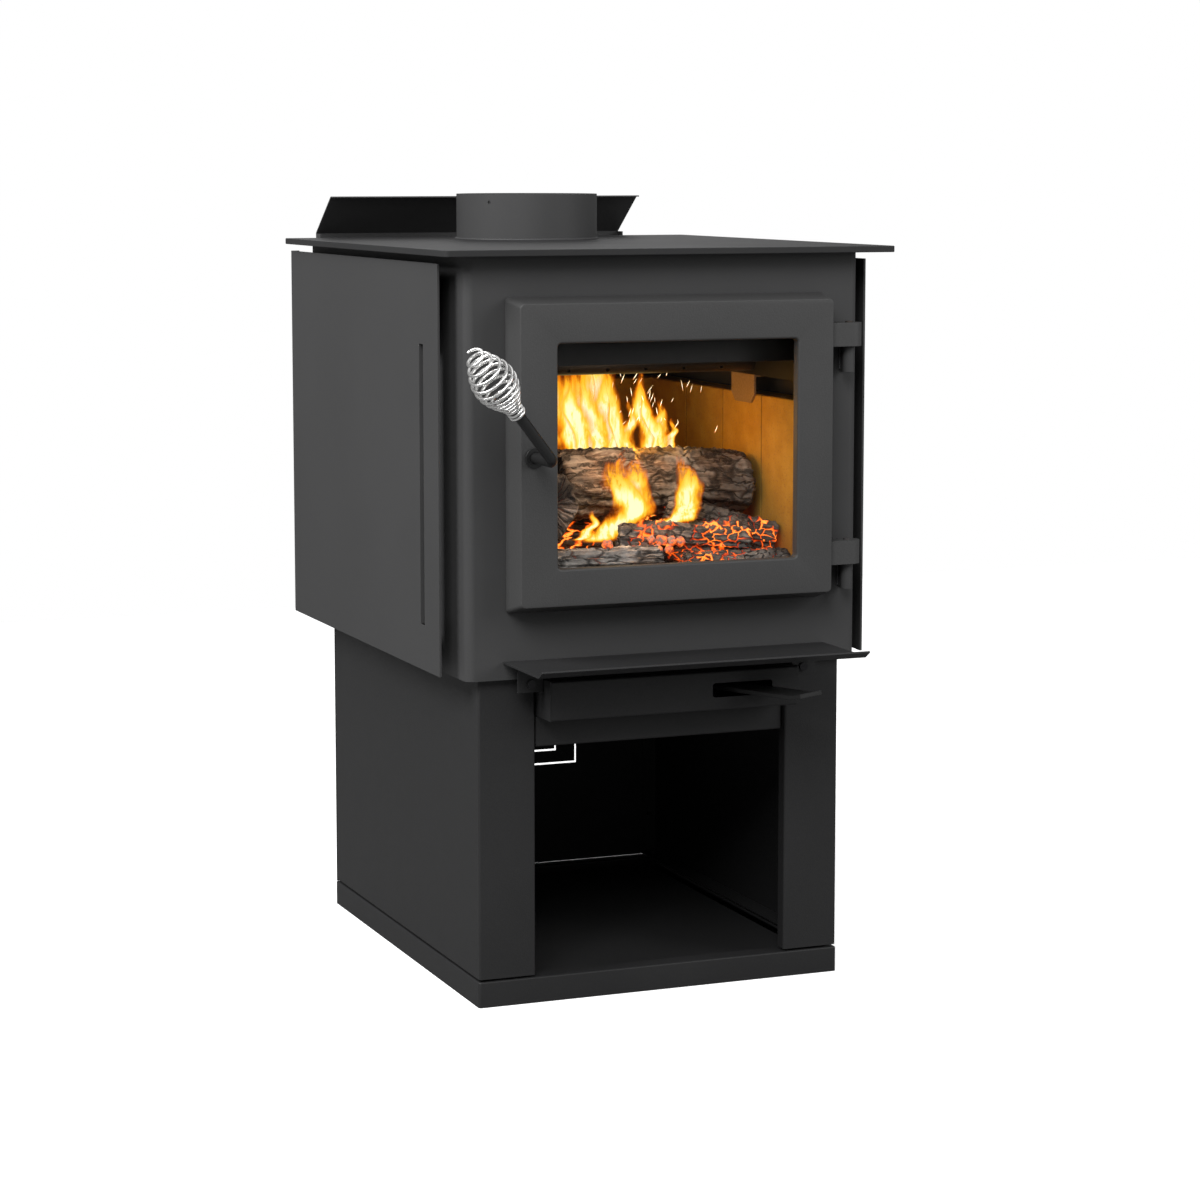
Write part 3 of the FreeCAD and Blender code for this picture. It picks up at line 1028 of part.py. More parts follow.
def make_grip():
    """Wire grip: tight turns on the rod, then a wide open bulb that closes to a small ring."""
    up = rod_way()
    across = up.cross(V(0, 0, 1)).normalize()
    third = up.cross(across)
    wire, length = number("wire_diameter"), number("grip_length")
    base, belly, tip = [(number(word) - wire) / 2 for word in ("grip_base", "grip_belly", "grip_tip")]
    turns = number("grip_turns")
    lean = number("grip_tight") * turns / length
    foot = elbow() + up * number("grip_start")
    steps = 12
    spots = []
    for i in range(int(turns) * steps + 1):
        share = i / (turns * steps)
        along = lean * share + (1 - lean) * share * share
        rise = max(0.0, (along - 0.12) / 0.88)
        bulge = math.sin(math.pi * rise ** 0.9) ** 1.25
        radius = base + (tip - base) * rise + (belly - (base + tip) / 2) * bulge
        angle = 2 * math.pi * turns * share
        outward = across * math.cos(angle) + third * math.sin(angle)
        spots.append(foot + up * (length * along) + outward * radius)
    curve = Part.BSplineCurve()
    curve.interpolate(spots)
    way = curve.tangent(curve.FirstParameter)[0]
    section = Part.Wire([Part.Circle(spots[0], way, wire / 2).toShape()])
    coil = add("Part::Feature", "grip_wire")
    coil.Shape = Part.Wire([curve.toShape()]).makePipeShell([section], True, True)
    keep(coil, "handle_grip")


def make_latch():
    """Latch finger and nut on the shaft's inner end, the wear plate they catch, and the door bush."""
    reach = "(finger_reach - finger_width / 2)"
    arm = box("finger_arm", (f"{SHAFT_X} - {reach}", FINGER_FRONT, f"{SHAFT_Z} - finger_width / 2"),
              (SHAFT_X, f"{FINGER_FRONT} + finger_thick", f"{SHAFT_Z} + finger_width / 2"))
    end = cylinder("finger_end", (f"{SHAFT_X} - {reach}", FINGER_FRONT, SHAFT_Z), (0, 1, 0),
                   "finger_width / 2", "finger_thick")
    hub = cylinder("finger_hub", (SHAFT_X, FINGER_FRONT, SHAFT_Z), (0, 1, 0), "finger_hub / 2",
                   "finger_thick")
    hole = cylinder("finger_hole", (SHAFT_X, f"{FINGER_FRONT} - 1", SHAFT_Z), (0, 1, 0),
                    "spigot_diameter / 2",
                    "finger_thick + 2")
    keep(cut("finger_drilled", fuse("finger_blank", [arm, end, hub]), [hole]), "latch_finger")
    nut = add("Part::Prism", "nut_prism")
    nut.Polygon = 6
    nut.Placement = FreeCAD.Placement(V(), FreeCAD.Rotation(V(0, 0, 1), V(0, 1, 0)))
    nut.setExpression("Circumradius", bind("nut_across / 2 / cos(30)"))
    nut.setExpression("Height", bind("nut_thick"))
    for axis, place in zip("xyz", (SHAFT_X, f"{FINGER_FRONT} + finger_thick", SHAFT_Z)):
        nut.setExpression(f"Placement.Base.{axis}", bind(place))
    thread = cylinder("nut_thread", (SHAFT_X, FINGER_FRONT, SHAFT_Z), (0, 1, 0), "spigot_diameter / 2",
                      "finger_thick + nut_thick + 1")
    keep(cut("nut_drilled", nut, [thread]), "latch_nut")
    edge = "(0 - opening_width / 2 - keeper_inset)"
    keep(box("keeper_plate", (f"{edge} - keeper_width", INNER_FRONT, f"{SHAFT_Z} - keeper_height / 2"),
             (edge, f"{INNER_FRONT} + keeper_thick", f"{SHAFT_Z} + keeper_height / 2")), "latch_keeper")
    ring_disc = cylinder("escutcheon_disc", (SHAFT_X, f"{DOOR_FACE} - escutcheon_proud", SHAFT_Z), (0, 1, 0),
                         "escutcheon_diameter / 2", "escutcheon_proud")
    ring_bore = cylinder("escutcheon_bore", (SHAFT_X, f"{DOOR_FACE} - escutcheon_proud - 1", SHAFT_Z),
                         (0, 1, 0),
                         "shaft_diameter / 2 + running_clearance", "escutcheon_proud + 2")
    keep(cut("escutcheon_ring", ring_disc, [ring_bore]), "handle_escutcheon")


def write_parts():
    """Checks every object and sub-part, then writes each sub-part to its own file."""
    document.recompute()
    faulty = [thing.Label for thing in document.Objects
              if "Invalid" in thing.State or "Error" in thing.State]
    if faulty:
        raise RuntimeError(f"failed objects: {faulty}")
    os.makedirs("parts", exist_ok=True)
    for name, thing in nodes:
        shape = thing.Shape
        if shape.isNull() or not shape.isValid() or not shape.Solids:
            raise RuntimeError(f"{name} has no valid solid")
        shape.exportStep(f"parts/{name}.step")
        print(f"{name}: {len(shape.Solids)} solid(s), {shape.Volume / 1000:.1f} cm3")


make_base_tray()
make_floor_plate()
make_foot_washers()
make_pedestal_side()
make_pedestal_back()
make_cross_panel()
make_firebox()
make_top()
make_side_shields()
make_side_brackets()
make_rear_shield()
make_ash_lip()
make_air_box()
make_air_control()
make_bricks()
make_brick_retainers()
make_air_system()
make_hinges(make_door_frame())
make_door_fittings()
make_handle()
make_grip()
make_latch()
write_parts()
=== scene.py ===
import math

import bmesh
import bpy
import numpy as np
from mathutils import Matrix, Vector


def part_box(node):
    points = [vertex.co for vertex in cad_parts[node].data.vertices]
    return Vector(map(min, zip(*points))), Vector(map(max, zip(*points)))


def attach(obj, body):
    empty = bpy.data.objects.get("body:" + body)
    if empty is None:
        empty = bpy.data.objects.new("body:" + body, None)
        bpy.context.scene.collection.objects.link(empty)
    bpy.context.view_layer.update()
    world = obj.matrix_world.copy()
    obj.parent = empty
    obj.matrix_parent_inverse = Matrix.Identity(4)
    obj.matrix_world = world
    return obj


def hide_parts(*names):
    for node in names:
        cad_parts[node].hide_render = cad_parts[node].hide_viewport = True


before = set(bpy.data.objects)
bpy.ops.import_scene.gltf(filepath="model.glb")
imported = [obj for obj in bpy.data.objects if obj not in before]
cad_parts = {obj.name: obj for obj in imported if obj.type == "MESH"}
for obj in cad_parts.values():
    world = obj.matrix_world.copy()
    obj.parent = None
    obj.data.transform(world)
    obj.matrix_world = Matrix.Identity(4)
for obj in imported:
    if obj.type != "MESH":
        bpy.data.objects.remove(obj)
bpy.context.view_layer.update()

# ---------------------------------------------------------------- studio
# A plain pale floor and a white surround, with five soft lights: high from the front left, from the left,
# from the front right, overhead and from behind. None of it belongs to the stove.

def tree_of(material):
    """The node tree of a material that uses nodes, emptied."""
    material.use_nodes = True
    material.node_tree.nodes.clear()
    return material.node_tree


def started(name):
    """A new material with this name, its empty node tree, and the Object coordinates in that tree."""
    made = bpy.data.materials.new(name)
    tree = tree_of(made)
    return made, tree, node(tree, "ShaderNodeTexCoord").outputs["Object"]


def shown(tree, shader):
    """The two sockets that join a shader to the output of its material."""
    return shader.outputs[0], node(tree, "ShaderNodeOutputMaterial").inputs[0]


def node(tree, kind, **values):
    """A node of this kind; words that name one of its sockets fill it, the others set its properties."""
    made = tree.nodes.new(kind)
    for word, value in values.items():
        name = word.replace("_", " ")
        if name in made.inputs and not hasattr(made, word):
            made.inputs[name].default_value = value
        else:
            setattr(made, word, value)
    return made


def wire(tree, *pairs):
    """Joins each pair of sockets, the first to the second."""
    for start, end in pairs:
        tree.links.new(start, end)


def ramp(tree, factor, stops):
    """Colour ramp with these (position, colour) stops, reading factor."""
    made = node(tree, "ShaderNodeValToRGB")
    band = made.color_ramp
    while len(band.elements) < len(stops):
        band.elements.new(0.5)
    for element, (spot, colour) in zip(band.elements, stops):
        element.position = spot
        element.color = (*colour, 1.0)
    tree.links.new(factor, made.inputs[0])
    return made.outputs[0]


def spread(tree, value, low, high, start=0.0, end=1.0, smooth=False):
    """Value from low..high carried to start..end and held there."""
    made = node(tree, "ShaderNodeMapRange")
    made.interpolation_type = "SMOOTHSTEP" if smooth else "LINEAR"
    for spot, number in zip((1, 2, 3, 4), (low, high, start, end)):
        made.inputs[spot].default_value = number
    tree.links.new(value, made.inputs[0])
    return made.outputs[0]


def sums(tree, kind, first, second):
    """Result of a Math node of this kind; each side is a socket or a number."""
    made = node(tree, "ShaderNodeMath", operation=kind)
    for spot, side in enumerate((first, second)):
        if isinstance(side, (int, float)):
            made.inputs[spot].default_value = side
        else:
            tree.links.new(side, made.inputs[spot])
    return made.outputs[0]


def blended(tree, factor, first, second):
    """Colour mix of two sockets or colours by a factor socket or number."""
    made = node(tree, "ShaderNodeMix", data_type="RGBA")
    for spot, side in ((0, factor), (6, first), (7, second)):
        if isinstance(side, bpy.types.NodeSocket):
            tree.links.new(side, made.inputs[spot])
        else:
            made.inputs[spot].default_value = (*side, 1.0) if isinstance(side, tuple) else side
    return made.outputs[2]


def noise(tree, where, scale, detail=3.0, rough=0.55, stretch=None):
    """Noise on a coordinate socket; stretch scales its three directions."""
    if stretch:
        mapping = node(tree, "ShaderNodeMapping")
        mapping.inputs["Scale"].default_value = stretch
        tree.links.new(where, mapping.inputs["Vector"])
        where = mapping.outputs[0]
    made = node(tree, "ShaderNodeTexNoise")
    made.inputs["Scale"].default_value = scale
    made.inputs["Detail"].default_value = detail
    made.inputs["Roughness"].default_value = rough
    tree.links.new(where, made.inputs["Vector"])
    return made.outputs["Fac"]


def group_of(name, takes, gives):
    """Empty shader node group with these named inputs and outputs: (name, kind, value) and (name, kind)."""
    group = bpy.data.node_groups.new(name, "ShaderNodeTree")
    for label, kind, value in takes:
        socket = group.interface.new_socket(label, in_out="INPUT", socket_type=kind)
        socket.default_value = value
    for label, kind in gives:
        group.interface.new_socket(label, in_out="OUTPUT", socket_type=kind)
    return group, node(group, "NodeGroupInput").outputs, node(group, "NodeGroupOutput").inputs


def bumped(tree, height, strength, depth):
    """Bump normal of a height socket."""
    made = node(tree, "ShaderNodeBump")
    made.inputs["Strength"].default_value = strength
    made.inputs["Distance"].default_value = depth
    tree.links.new(height, made.inputs["Height"])
    return made.outputs[0]


FLOOR_PALE = (0.93, 0.93, 0.93)
floor_paint, tree, place = started("studio_floor")
shader = node(tree, "ShaderNodeBsdfPrincipled", Roughness=0.9)
shader.inputs["Emission Color"].default_value = (1.0, 1.0, 1.0, 1.0)
shader.inputs["Emission Strength"].default_value = 0.55
bounce = node(tree, "ShaderNodeBsdfDiffuse", Color=(0.22, 0.22, 0.22, 1.0))
either = node(tree, "ShaderNodeMixShader")
grain = noise(tree, place, 4.0)
wire(tree, (ramp(tree, grain, [(0.3, FLOOR_PALE), (0.7, (0.95, 0.95, 0.95))]), shader.inputs["Base Color"]),
     (node(tree, "ShaderNodeLightPath").outputs["Is Camera Ray"], either.inputs[0]),
     (bounce.outputs[0], either.inputs[1]),
     (shader.outputs[0], either.inputs[2]),
     (either.outputs[0], node(tree, "ShaderNodeOutputMaterial").inputs[0]))
FLOOR_HALF, FLOOR_LEVEL = 2.6, -0.0005
floor_mesh = bpy.data.meshes.new("studio_floor")
floor_mesh.from_pydata([(x * FLOOR_HALF, y * FLOOR_HALF, FLOOR_LEVEL) for x,
                        y in ((-1, -1), (1, -1), (1, 1), (-1, 1))],
                       [], [(0, 1, 2, 3)])
floor_mesh.materials.append(floor_paint)
floor = bpy.data.objects.new("studio_floor", floor_mesh)
bpy.context.scene.collection.objects.link(floor)

SURROUND = 0.24
world = bpy.data.worlds.new("studio_surround")
world.use_nodes = True
tree = world.node_tree
tree.nodes.clear()
seen = node(tree, "ShaderNodeBackground", Strength=1.0)
seen.inputs["Color"].default_value = (1.0, 1.0, 1.0, 1.0)
lighting = node(tree, "ShaderNodeBackground", Strength=SURROUND)
lighting.inputs["Color"].default_value = (1.0, 1.0, 1.0, 1.0)
either = node(tree, "ShaderNodeMixShader")
wire(tree, (node(tree, "ShaderNodeLightPath").outputs["Is Camera Ray"], either.inputs[0]),
     (lighting.outputs[0], either.inputs[1]), (seen.outputs[0], either.inputs[2]),
     (either.outputs[0], node(tree, "ShaderNodeOutputWorld").inputs[0]))
bpy.context.scene.world = world
bpy.context.scene.view_settings.view_transform = "Standard"


def soft_light(name, spot, aim, size, power, colour=(1.0, 1.0, 1.0)):
    """Square area light at spot that faces aim."""
    data = bpy.data.lights.new(name, "AREA")
    data.shape, data.size, data.energy, data.color = "SQUARE", size, power, colour
    lamp = bpy.data.objects.new(name, data)
    lamp.location = spot
    lamp.rotation_euler = (Vector(aim) - Vector(spot)).to_track_quat("-Z", "Y").to_euler()
    bpy.context.scene.collection.objects.link(lamp)


STOVE_MIDDLE = (0.0, 0.0, 0.42)
STOVE_HEAD = (0.0, 0.0, 0.85)
soft_light("key_light", (-1.7, -2.8, 2.9), STOVE_HEAD, 1.8, 125.0)
soft_light("side_light", (-2.4, -0.2, 2.3), STOVE_HEAD, 1.3, 85.0)
soft_light("fill_light", (2.6, -2.6, 1.9), STOVE_MIDDLE, 2.0, 55.0)
soft_light("top_light", (0.4, 0.2, 3.6), STOVE_MIDDLE, 2.4, 18.0)
soft_light("rear_light", (1.0, 3.6, 2.0), STOVE_MIDDLE, 2.0, 9.0)

# The camera stands in front and to the left, a little above the lid, and looks slightly down.
camera_data = bpy.data.cameras.new("camera")
camera_data.sensor_width, camera_data.lens, camera_data.shift_y = 36.0, 93.3, -0.05
camera_data.clip_end = 60.0
camera = bpy.data.objects.new("camera", camera_data)
camera.location = (-1.2353, -3.1490, 0.8511)
camera.rotation_euler = (math.radians(90.0 - 6.883), 0.0, math.radians(-21.889))
bpy.context.scene.collection.objects.link(camera)
bpy.context.scene.camera = camera

# ---------------------------------------------------------------- pedestal
# Base tray, two folded sides, back and cross panel of 1.6 to 2 mm sheet, sprayed with a matte black that
# dries with a fine pebbled grain, made darker than the firebox's as painted shade. The ash lip bolted over
# it is given the same darker paint, also as painted shade. Cut edges are slightly rounded.

sprayed, takes, gives = group_of("sprayed_paint",
    [("Dark", "NodeSocketColor", (0.03, 0.03, 0.03, 1)),
     ("Light", "NodeSocketColor", (0.05, 0.05, 0.05, 1)),
     ("Grain size", "NodeSocketFloat", 900.0), ("Low roughness", "NodeSocketFloat", 0.4),
     ("High roughness", "NodeSocketFloat", 0.55), ("Pebble", "NodeSocketFloat", 0.25)],
    [("Colour", "NodeSocketColor"), ("Roughness", "NodeSocketFloat"), ("Normal", "NodeSocketVector")])
place = node(sprayed, "ShaderNodeTexCoord").outputs["Object"]
cloud = noise(sprayed, place, 7.0, 4.0)
grain = node(sprayed, "ShaderNodeTexNoise", Detail=2.0)
wire(sprayed, (place, grain.inputs["Vector"]), (takes["Grain size"], grain.inputs["Scale"]))
speck = spread(sprayed, grain.outputs["Fac"], 0.35, 0.75)
tone = sums(sprayed, "ADD", sums(sprayed, "MULTIPLY", cloud, 0.7), sums(sprayed, "MULTIPLY", speck, 0.3))
colour = node(sprayed, "ShaderNodeMix", data_type="RGBA")
rough = node(sprayed, "ShaderNodeMix", data_type="FLOAT")
bump = node(sprayed, "ShaderNodeBump", Distance=0.0003)
wire(sprayed, (tone, colour.inputs[0]), (takes["Dark"], colour.inputs[6]),
     (takes["Light"], colour.inputs[7]),
     (cloud, rough.inputs[0]), (takes["Low roughness"], rough.inputs[2]),
     (takes["High roughness"], rough.inputs[3]),
     (takes["Pebble"], bump.inputs["Strength"]), (grain.outputs["Fac"], bump.inputs["Height"]),
     (colour.outputs[2], gives["Colour"]), (rough.outputs[0], gives["Roughness"]),
     (bump.outputs[0], gives["Normal"]))


def sprayed_finish(name, dark, light, grain_size, roughness, pebble, metallic=0.0, gloss=0.3):
    """Material of one sprayed or plated finish, made with the sprayed paint group."""
    made = bpy.data.materials.new(name)
    tree = tree_of(made)
    coat = node(tree, "ShaderNodeGroup", node_tree=sprayed)
    coat.inputs["Dark"].default_value = (*dark, 1.0)
    coat.inputs["Light"].default_value = (*light, 1.0)
    coat.inputs["Grain size"].default_value = grain_size
    coat.inputs["Low roughness"].default_value, coat.inputs["High roughness"].default_value = roughness
    coat.inputs["Pebble"].default_value = pebble
    shader = node(tree, "ShaderNodeBsdfPrincipled", Metallic=metallic)
    shader.inputs["Specular IOR Level"].default_value = gloss
    wire(tree, (coat.outputs["Colour"], shader.inputs["Base Color"]),
         (coat.outputs["Roughness"], shader.inputs["Roughness"]),
         (coat.outputs["Normal"], shader.inputs["Normal"]), shown(tree, shader))
    return made


# Finishing of a cut and folded part: its triangles are joined, its faces smoothed and its edges rounded.
# Faces that meet at more than CREASE keep a sharp edge between them.
CREASE = math.radians(28.0)
softened = bpy.data.node_groups.new("joined_and_smoothed", "GeometryNodeTree")
softened.interface.new_socket("Geometry", in_out="INPUT", socket_type="NodeSocketGeometry")
softened.interface.new_socket("Geometry", in_out="OUTPUT", socket_type="NodeSocketGeometry")
joined = node(softened, "GeometryNodeMergeByDistance")
joined.inputs["Distance"].default_value = 0.00001
bare = node(softened, "GeometryNodeRemoveAttribute")
bare.inputs["Name"].default_value = "custom_normal"
sharp = node(softened, "GeometryNodeRemoveAttribute")
sharp.inputs["Name"].default_value = "sharp_edge"
smoothed = node(softened, "GeometryNodeSetShadeSmooth")
creased = node(softened, "GeometryNodeSetShadeSmooth", domain="EDGE")
creased.inputs["Shade Smooth"].default_value = False
turning = node(softened, "GeometryNodeInputMeshEdgeAngle").outputs["Unsigned Angle"]
wire(softened, (node(softened, "NodeGroupInput").outputs[0], joined.inputs["Geometry"]),
     (joined.outputs[0], bare.inputs[0]), (bare.outputs[0], sharp.inputs[0]),
     (sharp.outputs[0], smoothed.inputs["Geometry"]),
     (smoothed.outputs[0], creased.inputs["Geometry"]),
     (sums(softened, "GREATER_THAN", turning, CREASE), creased.inputs["Selection"]),
     (creased.outputs[0], node(softened, "NodeGroupOutput").inputs[0]))


def finished(material, edge, *names):
    """Gives each CAD node this material and rounds its edges by edge metres; 0 leaves them sharp."""
    for name in names:
        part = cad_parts[name]
        part.data.materials.clear()
        part.data.materials.append(material)
        part.modifiers.new("joined", "NODES").node_group = softened
        if edge:
            flat = part.modifiers.new("flat_faces", "DECIMATE")
            flat.decimate_type, flat.angle_limit = "DISSOLVE", math.radians(0.3)
            rounding = part.modifiers.new("rounded_edges", "BEVEL")
            rounding.width, rounding.segments, rounding.limit_method = edge, 2, "ANGLE"
            rounding.angle_limit, rounding.harden_normals, rounding.use_clamp_overlap = CREASE, True, True


# A darker copy of the stove paint for the pedestal and the ash lip: painted shade.
pedestal_paint = sprayed_finish("pedestal_paint", (0.014, 0.014, 0.0145), (0.024, 0.024, 0.0245), 850.0,
                                (0.42, 0.58), 0.45, gloss=0.25)
finished(pedestal_paint, 0.0004, "base_tray", "pedestal_left", "pedestal_right", "pedestal_back",
         "cross_panel", "floor_plate", "air_control_box", "ash_lip")

# ---------------------------------------------------------------- firebox
# Folded wrap with wide rounded front corners, back, floor and lid of 4.8 to 6.5 mm plate, with 1.25 mm heat
# shields stood off on brackets. All are sprayed with high-temperature matte charcoal paint; the lid is
# given a darker copy of it as painted shade, and the pedestal below another darker copy, also as painted
# shade.

stove_paint = sprayed_finish("stove_paint", (0.038, 0.038, 0.0385), (0.054, 0.054, 0.0545), 1100.0,
                             (0.44, 0.58), 0.22, gloss=0.18)
# The lid takes a darker copy of the stove paint: painted shade.
lid_painted_shade = sprayed_finish("lid_painted_shade", (0.020, 0.020, 0.0205), (0.030, 0.030, 0.0305), 1100.0,
                           (0.46, 0.60), 0.22, gloss=0.15)
finished(stove_paint, 0.0008, "firebox_wrap", "firebox_back", "firebox_floor")
finished(lid_painted_shade, 0.0008, "top_plate")
finished(stove_paint, 0.0004, "side_shield_left", "side_shield_right", "side_shield_brackets",
         "rear_shield",
         "rear_shield_brackets", "hinge_barrel_lower", "hinge_barrel_upper")

# ---------------------------------------------------------------- flue collar
# Rolled tube that stands on the lid over the flue hole, joined by a continuous fillet weld round its foot
# and painted with the stove. Three small holes near its rim take the screws of the flue pipe.

finished(stove_paint, 0.0006, "flue_collar")


def surface(name, points, material, closed_round=True, ends="cap"):
    """Mesh from a grid of points, rows x columns x 3: each face joins four neighbours, the last column
    joins the first where closed_round, and each end row is filled by one face where ends is cap. Its map is
    (column, row)."""
    rows, columns = points.shape[:2]
    spans = columns if closed_round else columns - 1
    row, column = np.meshgrid(np.arange(rows - 1), np.arange(spans), indexing="ij")
    after = (column + 1) % columns
    corners = [(row, column), (row, after), (row + 1, after), (row + 1, column)]
    faces = np.stack([r * columns + c for r, c in corners], axis=-1).reshape(-1, 4).tolist()
    across = np.stack([column, column + 1, column + 1, column], axis=-1).reshape(-1) / spans
    along = np.stack([row, row, row + 1, row + 1], axis=-1).reshape(-1) / (rows - 1)
    if ends == "cap":
        faces += [list(range(columns - 1, -1, -1)), list(range((rows - 1) * columns, rows * columns))]
        turns = np.arange(columns) / columns
        across = np.concatenate([across, turns[::-1], turns])
        along = np.concatenate([along, np.zeros(columns), np.ones(columns)])
    elif ends == "join":
        row, column = np.zeros(spans, int) + rows - 1, np.arange(spans)
        after = (column + 1) % columns
        faces += np.stack([row * columns + column, row * columns + after, after, column], axis=-1).tolist()
        across = np.concatenate([across,
                                 np.stack([column, column + 1, column + 1, column],
                                          axis=-1).reshape(-1) / spans])
        along = np.concatenate([along, np.tile([1.0, 1.0, 1.0, 1.0], spans)])
    mesh = bpy.data.meshes.new(name)
    mesh.from_pydata(points.reshape(-1, 3).tolist(), [], faces)
    uv = mesh.uv_layers.new(name="surface")
    uv.data.foreach_set("uv", np.stack([across, along], axis=-1).reshape(-1).astype(np.float32))
    mesh.polygons.foreach_set("use_smooth", np.full(len(mesh.polygons), True))
    if closed_round and ends != "open":
        shell = bmesh.new()
        shell.from_mesh(mesh)
        bmesh.ops.recalc_face_normals(shell, faces=shell.faces)
        shell.to_mesh(mesh)
        shell.free()
    mesh.materials.append(material)
    made = bpy.data.objects.new(name, mesh)
    bpy.context.scene.collection.objects.link(made)
    return made


def tube(name, path, radius, sides, material, closed=False, squash=(1.0, 1.0)):
    """Round section carried along a path of points: at each point, the centre plus radius times cos and sin
    of the angle along two directions square to the path. A third direction turns with the path, so it never
    twists."""
    path = np.asarray(path, float)
    way = np.gradient(path, axis=0)
    if closed:
        way = np.roll(path, -1, axis=0) - np.roll(path, 1, axis=0)
    way /= np.linalg.norm(way, axis=1, keepdims=True)
    spread_of = np.linalg.svd(path - path.mean(0), full_matrices=False)[2]
    level = spread_of[2] / np.linalg.norm(spread_of[2])
    side = np.cross(way, level)
    side /= np.linalg.norm(side, axis=1, keepdims=True)
    over = np.cross(way, side)
    angle = np.linspace(0.0, 2.0 * np.pi, sides, endpoint=False)[None, :, None]
    size = np.broadcast_to(np.asarray(radius, float), len(path))[:, None, None]
    ring = np.cos(angle) * side[:, None] * squash[0] + np.sin(angle) * over[:, None] * squash[1]
    return surface(name, path[:, None] + size * ring, material, ends="join" if closed else "cap")


# Weld bead: overlapping scallops 2.6 mm apart along a fillet 3 mm wide, painted over.
weld_paint = sprayed_finish("painted_weld", (0.036, 0.036, 0.037), (0.052, 0.052, 0.053), 1300.0,
                            (0.40, 0.52), 0.3)
collar_low, collar_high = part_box("flue_collar")
collar_middle = (np.array(collar_low) + np.array(collar_high)) / 2
turn = np.linspace(0.0, 2.0 * np.pi, 760, endpoint=False)
collar_radius = (collar_high.x - collar_low.x) / 2
scallop = 0.0013 + 0.00035 * np.abs(np.sin(turn * 95.0))
foot = np.stack([collar_middle[0] + (collar_radius + 0.0006) * np.cos(turn),
                 collar_middle[1] + (collar_radius + 0.0006) * np.sin(turn),
                 np.full(turn.shape, collar_low.z + 0.0006)], axis=1)
collar_weld = tube("collar_weld", foot, scallop, 8, weld_paint, closed=True)
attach(collar_weld, "stove")

# ---------------------------------------------------------------- hinges
# Each barrel stands on a web welded to the firebox front, and carries a pin; the lug on the door drops over
# it. A short weld runs down both sides of each web.

cast_paint = sprayed_finish("cast_paint", (0.038, 0.038, 0.038), (0.055, 0.055, 0.055), 620.0,
                            (0.42, 0.56), 0.45)
finished(cast_paint, 0.0006, "hinge_lug_lower", "hinge_lug_upper")
BEAD_POINTS = 60
for level in ("lower", "upper"):
    low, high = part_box(f"hinge_barrel_{level}")
    rise = np.linspace(low.z + 0.002, high.z - 0.002, BEAD_POINTS)
    for side, shift in (("left", -0.0032), ("right", 0.0032)):
        middle = (low.x + high.x) / 2
        line = np.stack([np.full(BEAD_POINTS, middle + shift), np.full(BEAD_POINTS, high.y - 0.0008),
                         rise], axis=1)
        bead = tube(f"barrel_weld_{level}_{side}", line, 0.0012 + 0.0003 * np.abs(np.sin(rise * 1300.0)),
                    8, weld_paint)
        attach(bead, "stove")

# ---------------------------------------------------------------- door
# One iron casting with flared back edges and a window, painted like the stove but with a coarser skin.
# Behind the window a ceramic glass sits on flat tape under two steel bars; a glass-fibre rope seals the
# rim.

finished(cast_paint, 0.0012, "door_frame")

clear_glass, tree, place = started("ceramic_glass")
low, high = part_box("door_glass")
haze = noise(tree, place, 16.0, 3.0)
height = node(tree, "ShaderNodeSeparateXYZ")
wire(tree, (place, height.inputs[0]))
soot = spread(tree, height.outputs[2], low.z, low.z + 0.05, 0.05, 0.0, True)
shader = node(tree, "ShaderNodeBsdfPrincipled", Roughness=0.04, IOR=1.5)
wire(tree, (ramp(tree, haze, [(0.3, (0.03, 0.025, 0.02)), (0.7, (0.06, 0.05, 0.04))]),
            shader.inputs["Base Color"]),
     (sums(tree, "ADD", sums(tree, "MULTIPLY", haze, 0.05), soot), shader.inputs["Alpha"]),
     shown(tree, shader))
finished(clear_glass, 0.0004, "door_glass")

rope_fibre = bpy.data.materials.new("glass_rope")
tree = tree_of(rope_fibre)
around = node(tree, "ShaderNodeUVMap", uv_map="surface").outputs[0]
parted = node(tree, "ShaderNodeSeparateXYZ")
wire(tree, (around, parted.inputs[0]))
ROPE_PLAITS, ROPE_STRANDS = 150.0, 4.0
down = sums(tree, "MULTIPLY", parted.outputs[1], ROPE_PLAITS * 2)
round_it = sums(tree, "MULTIPLY", parted.outputs[0], ROPE_STRANDS)
ridges = []
for lean in ("ADD", "SUBTRACT"):
    wave = sums(tree, "SINE", sums(tree, "MULTIPLY", sums(tree, lean, down, round_it), math.pi), 0.0)
    ridges.append(sums(tree, "ABSOLUTE", wave, 0.0))
plait = sums(tree, "MAXIMUM", *ridges)
shader = node(tree, "ShaderNodeBsdfPrincipled", Roughness=0.92)
place = node(tree, "ShaderNodeTexCoord").outputs["Object"]
fuzz = noise(tree, place, 2500.0, 2.0)
# The rope is darkest in the grooves between its strands and palest on their crowns: painted shade.
wire(tree, (ramp(tree, sums(tree, "MULTIPLY", plait, sums(tree, "ADD", fuzz, 0.4)),
                 [(0.1, (0.035, 0.033, 0.03)), (0.9, (0.30, 0.29, 0.27))]), shader.inputs["Base Color"]),
     (bumped(tree, plait, 0.8, 0.0012), shader.inputs["Normal"]),
     shown(tree, shader))


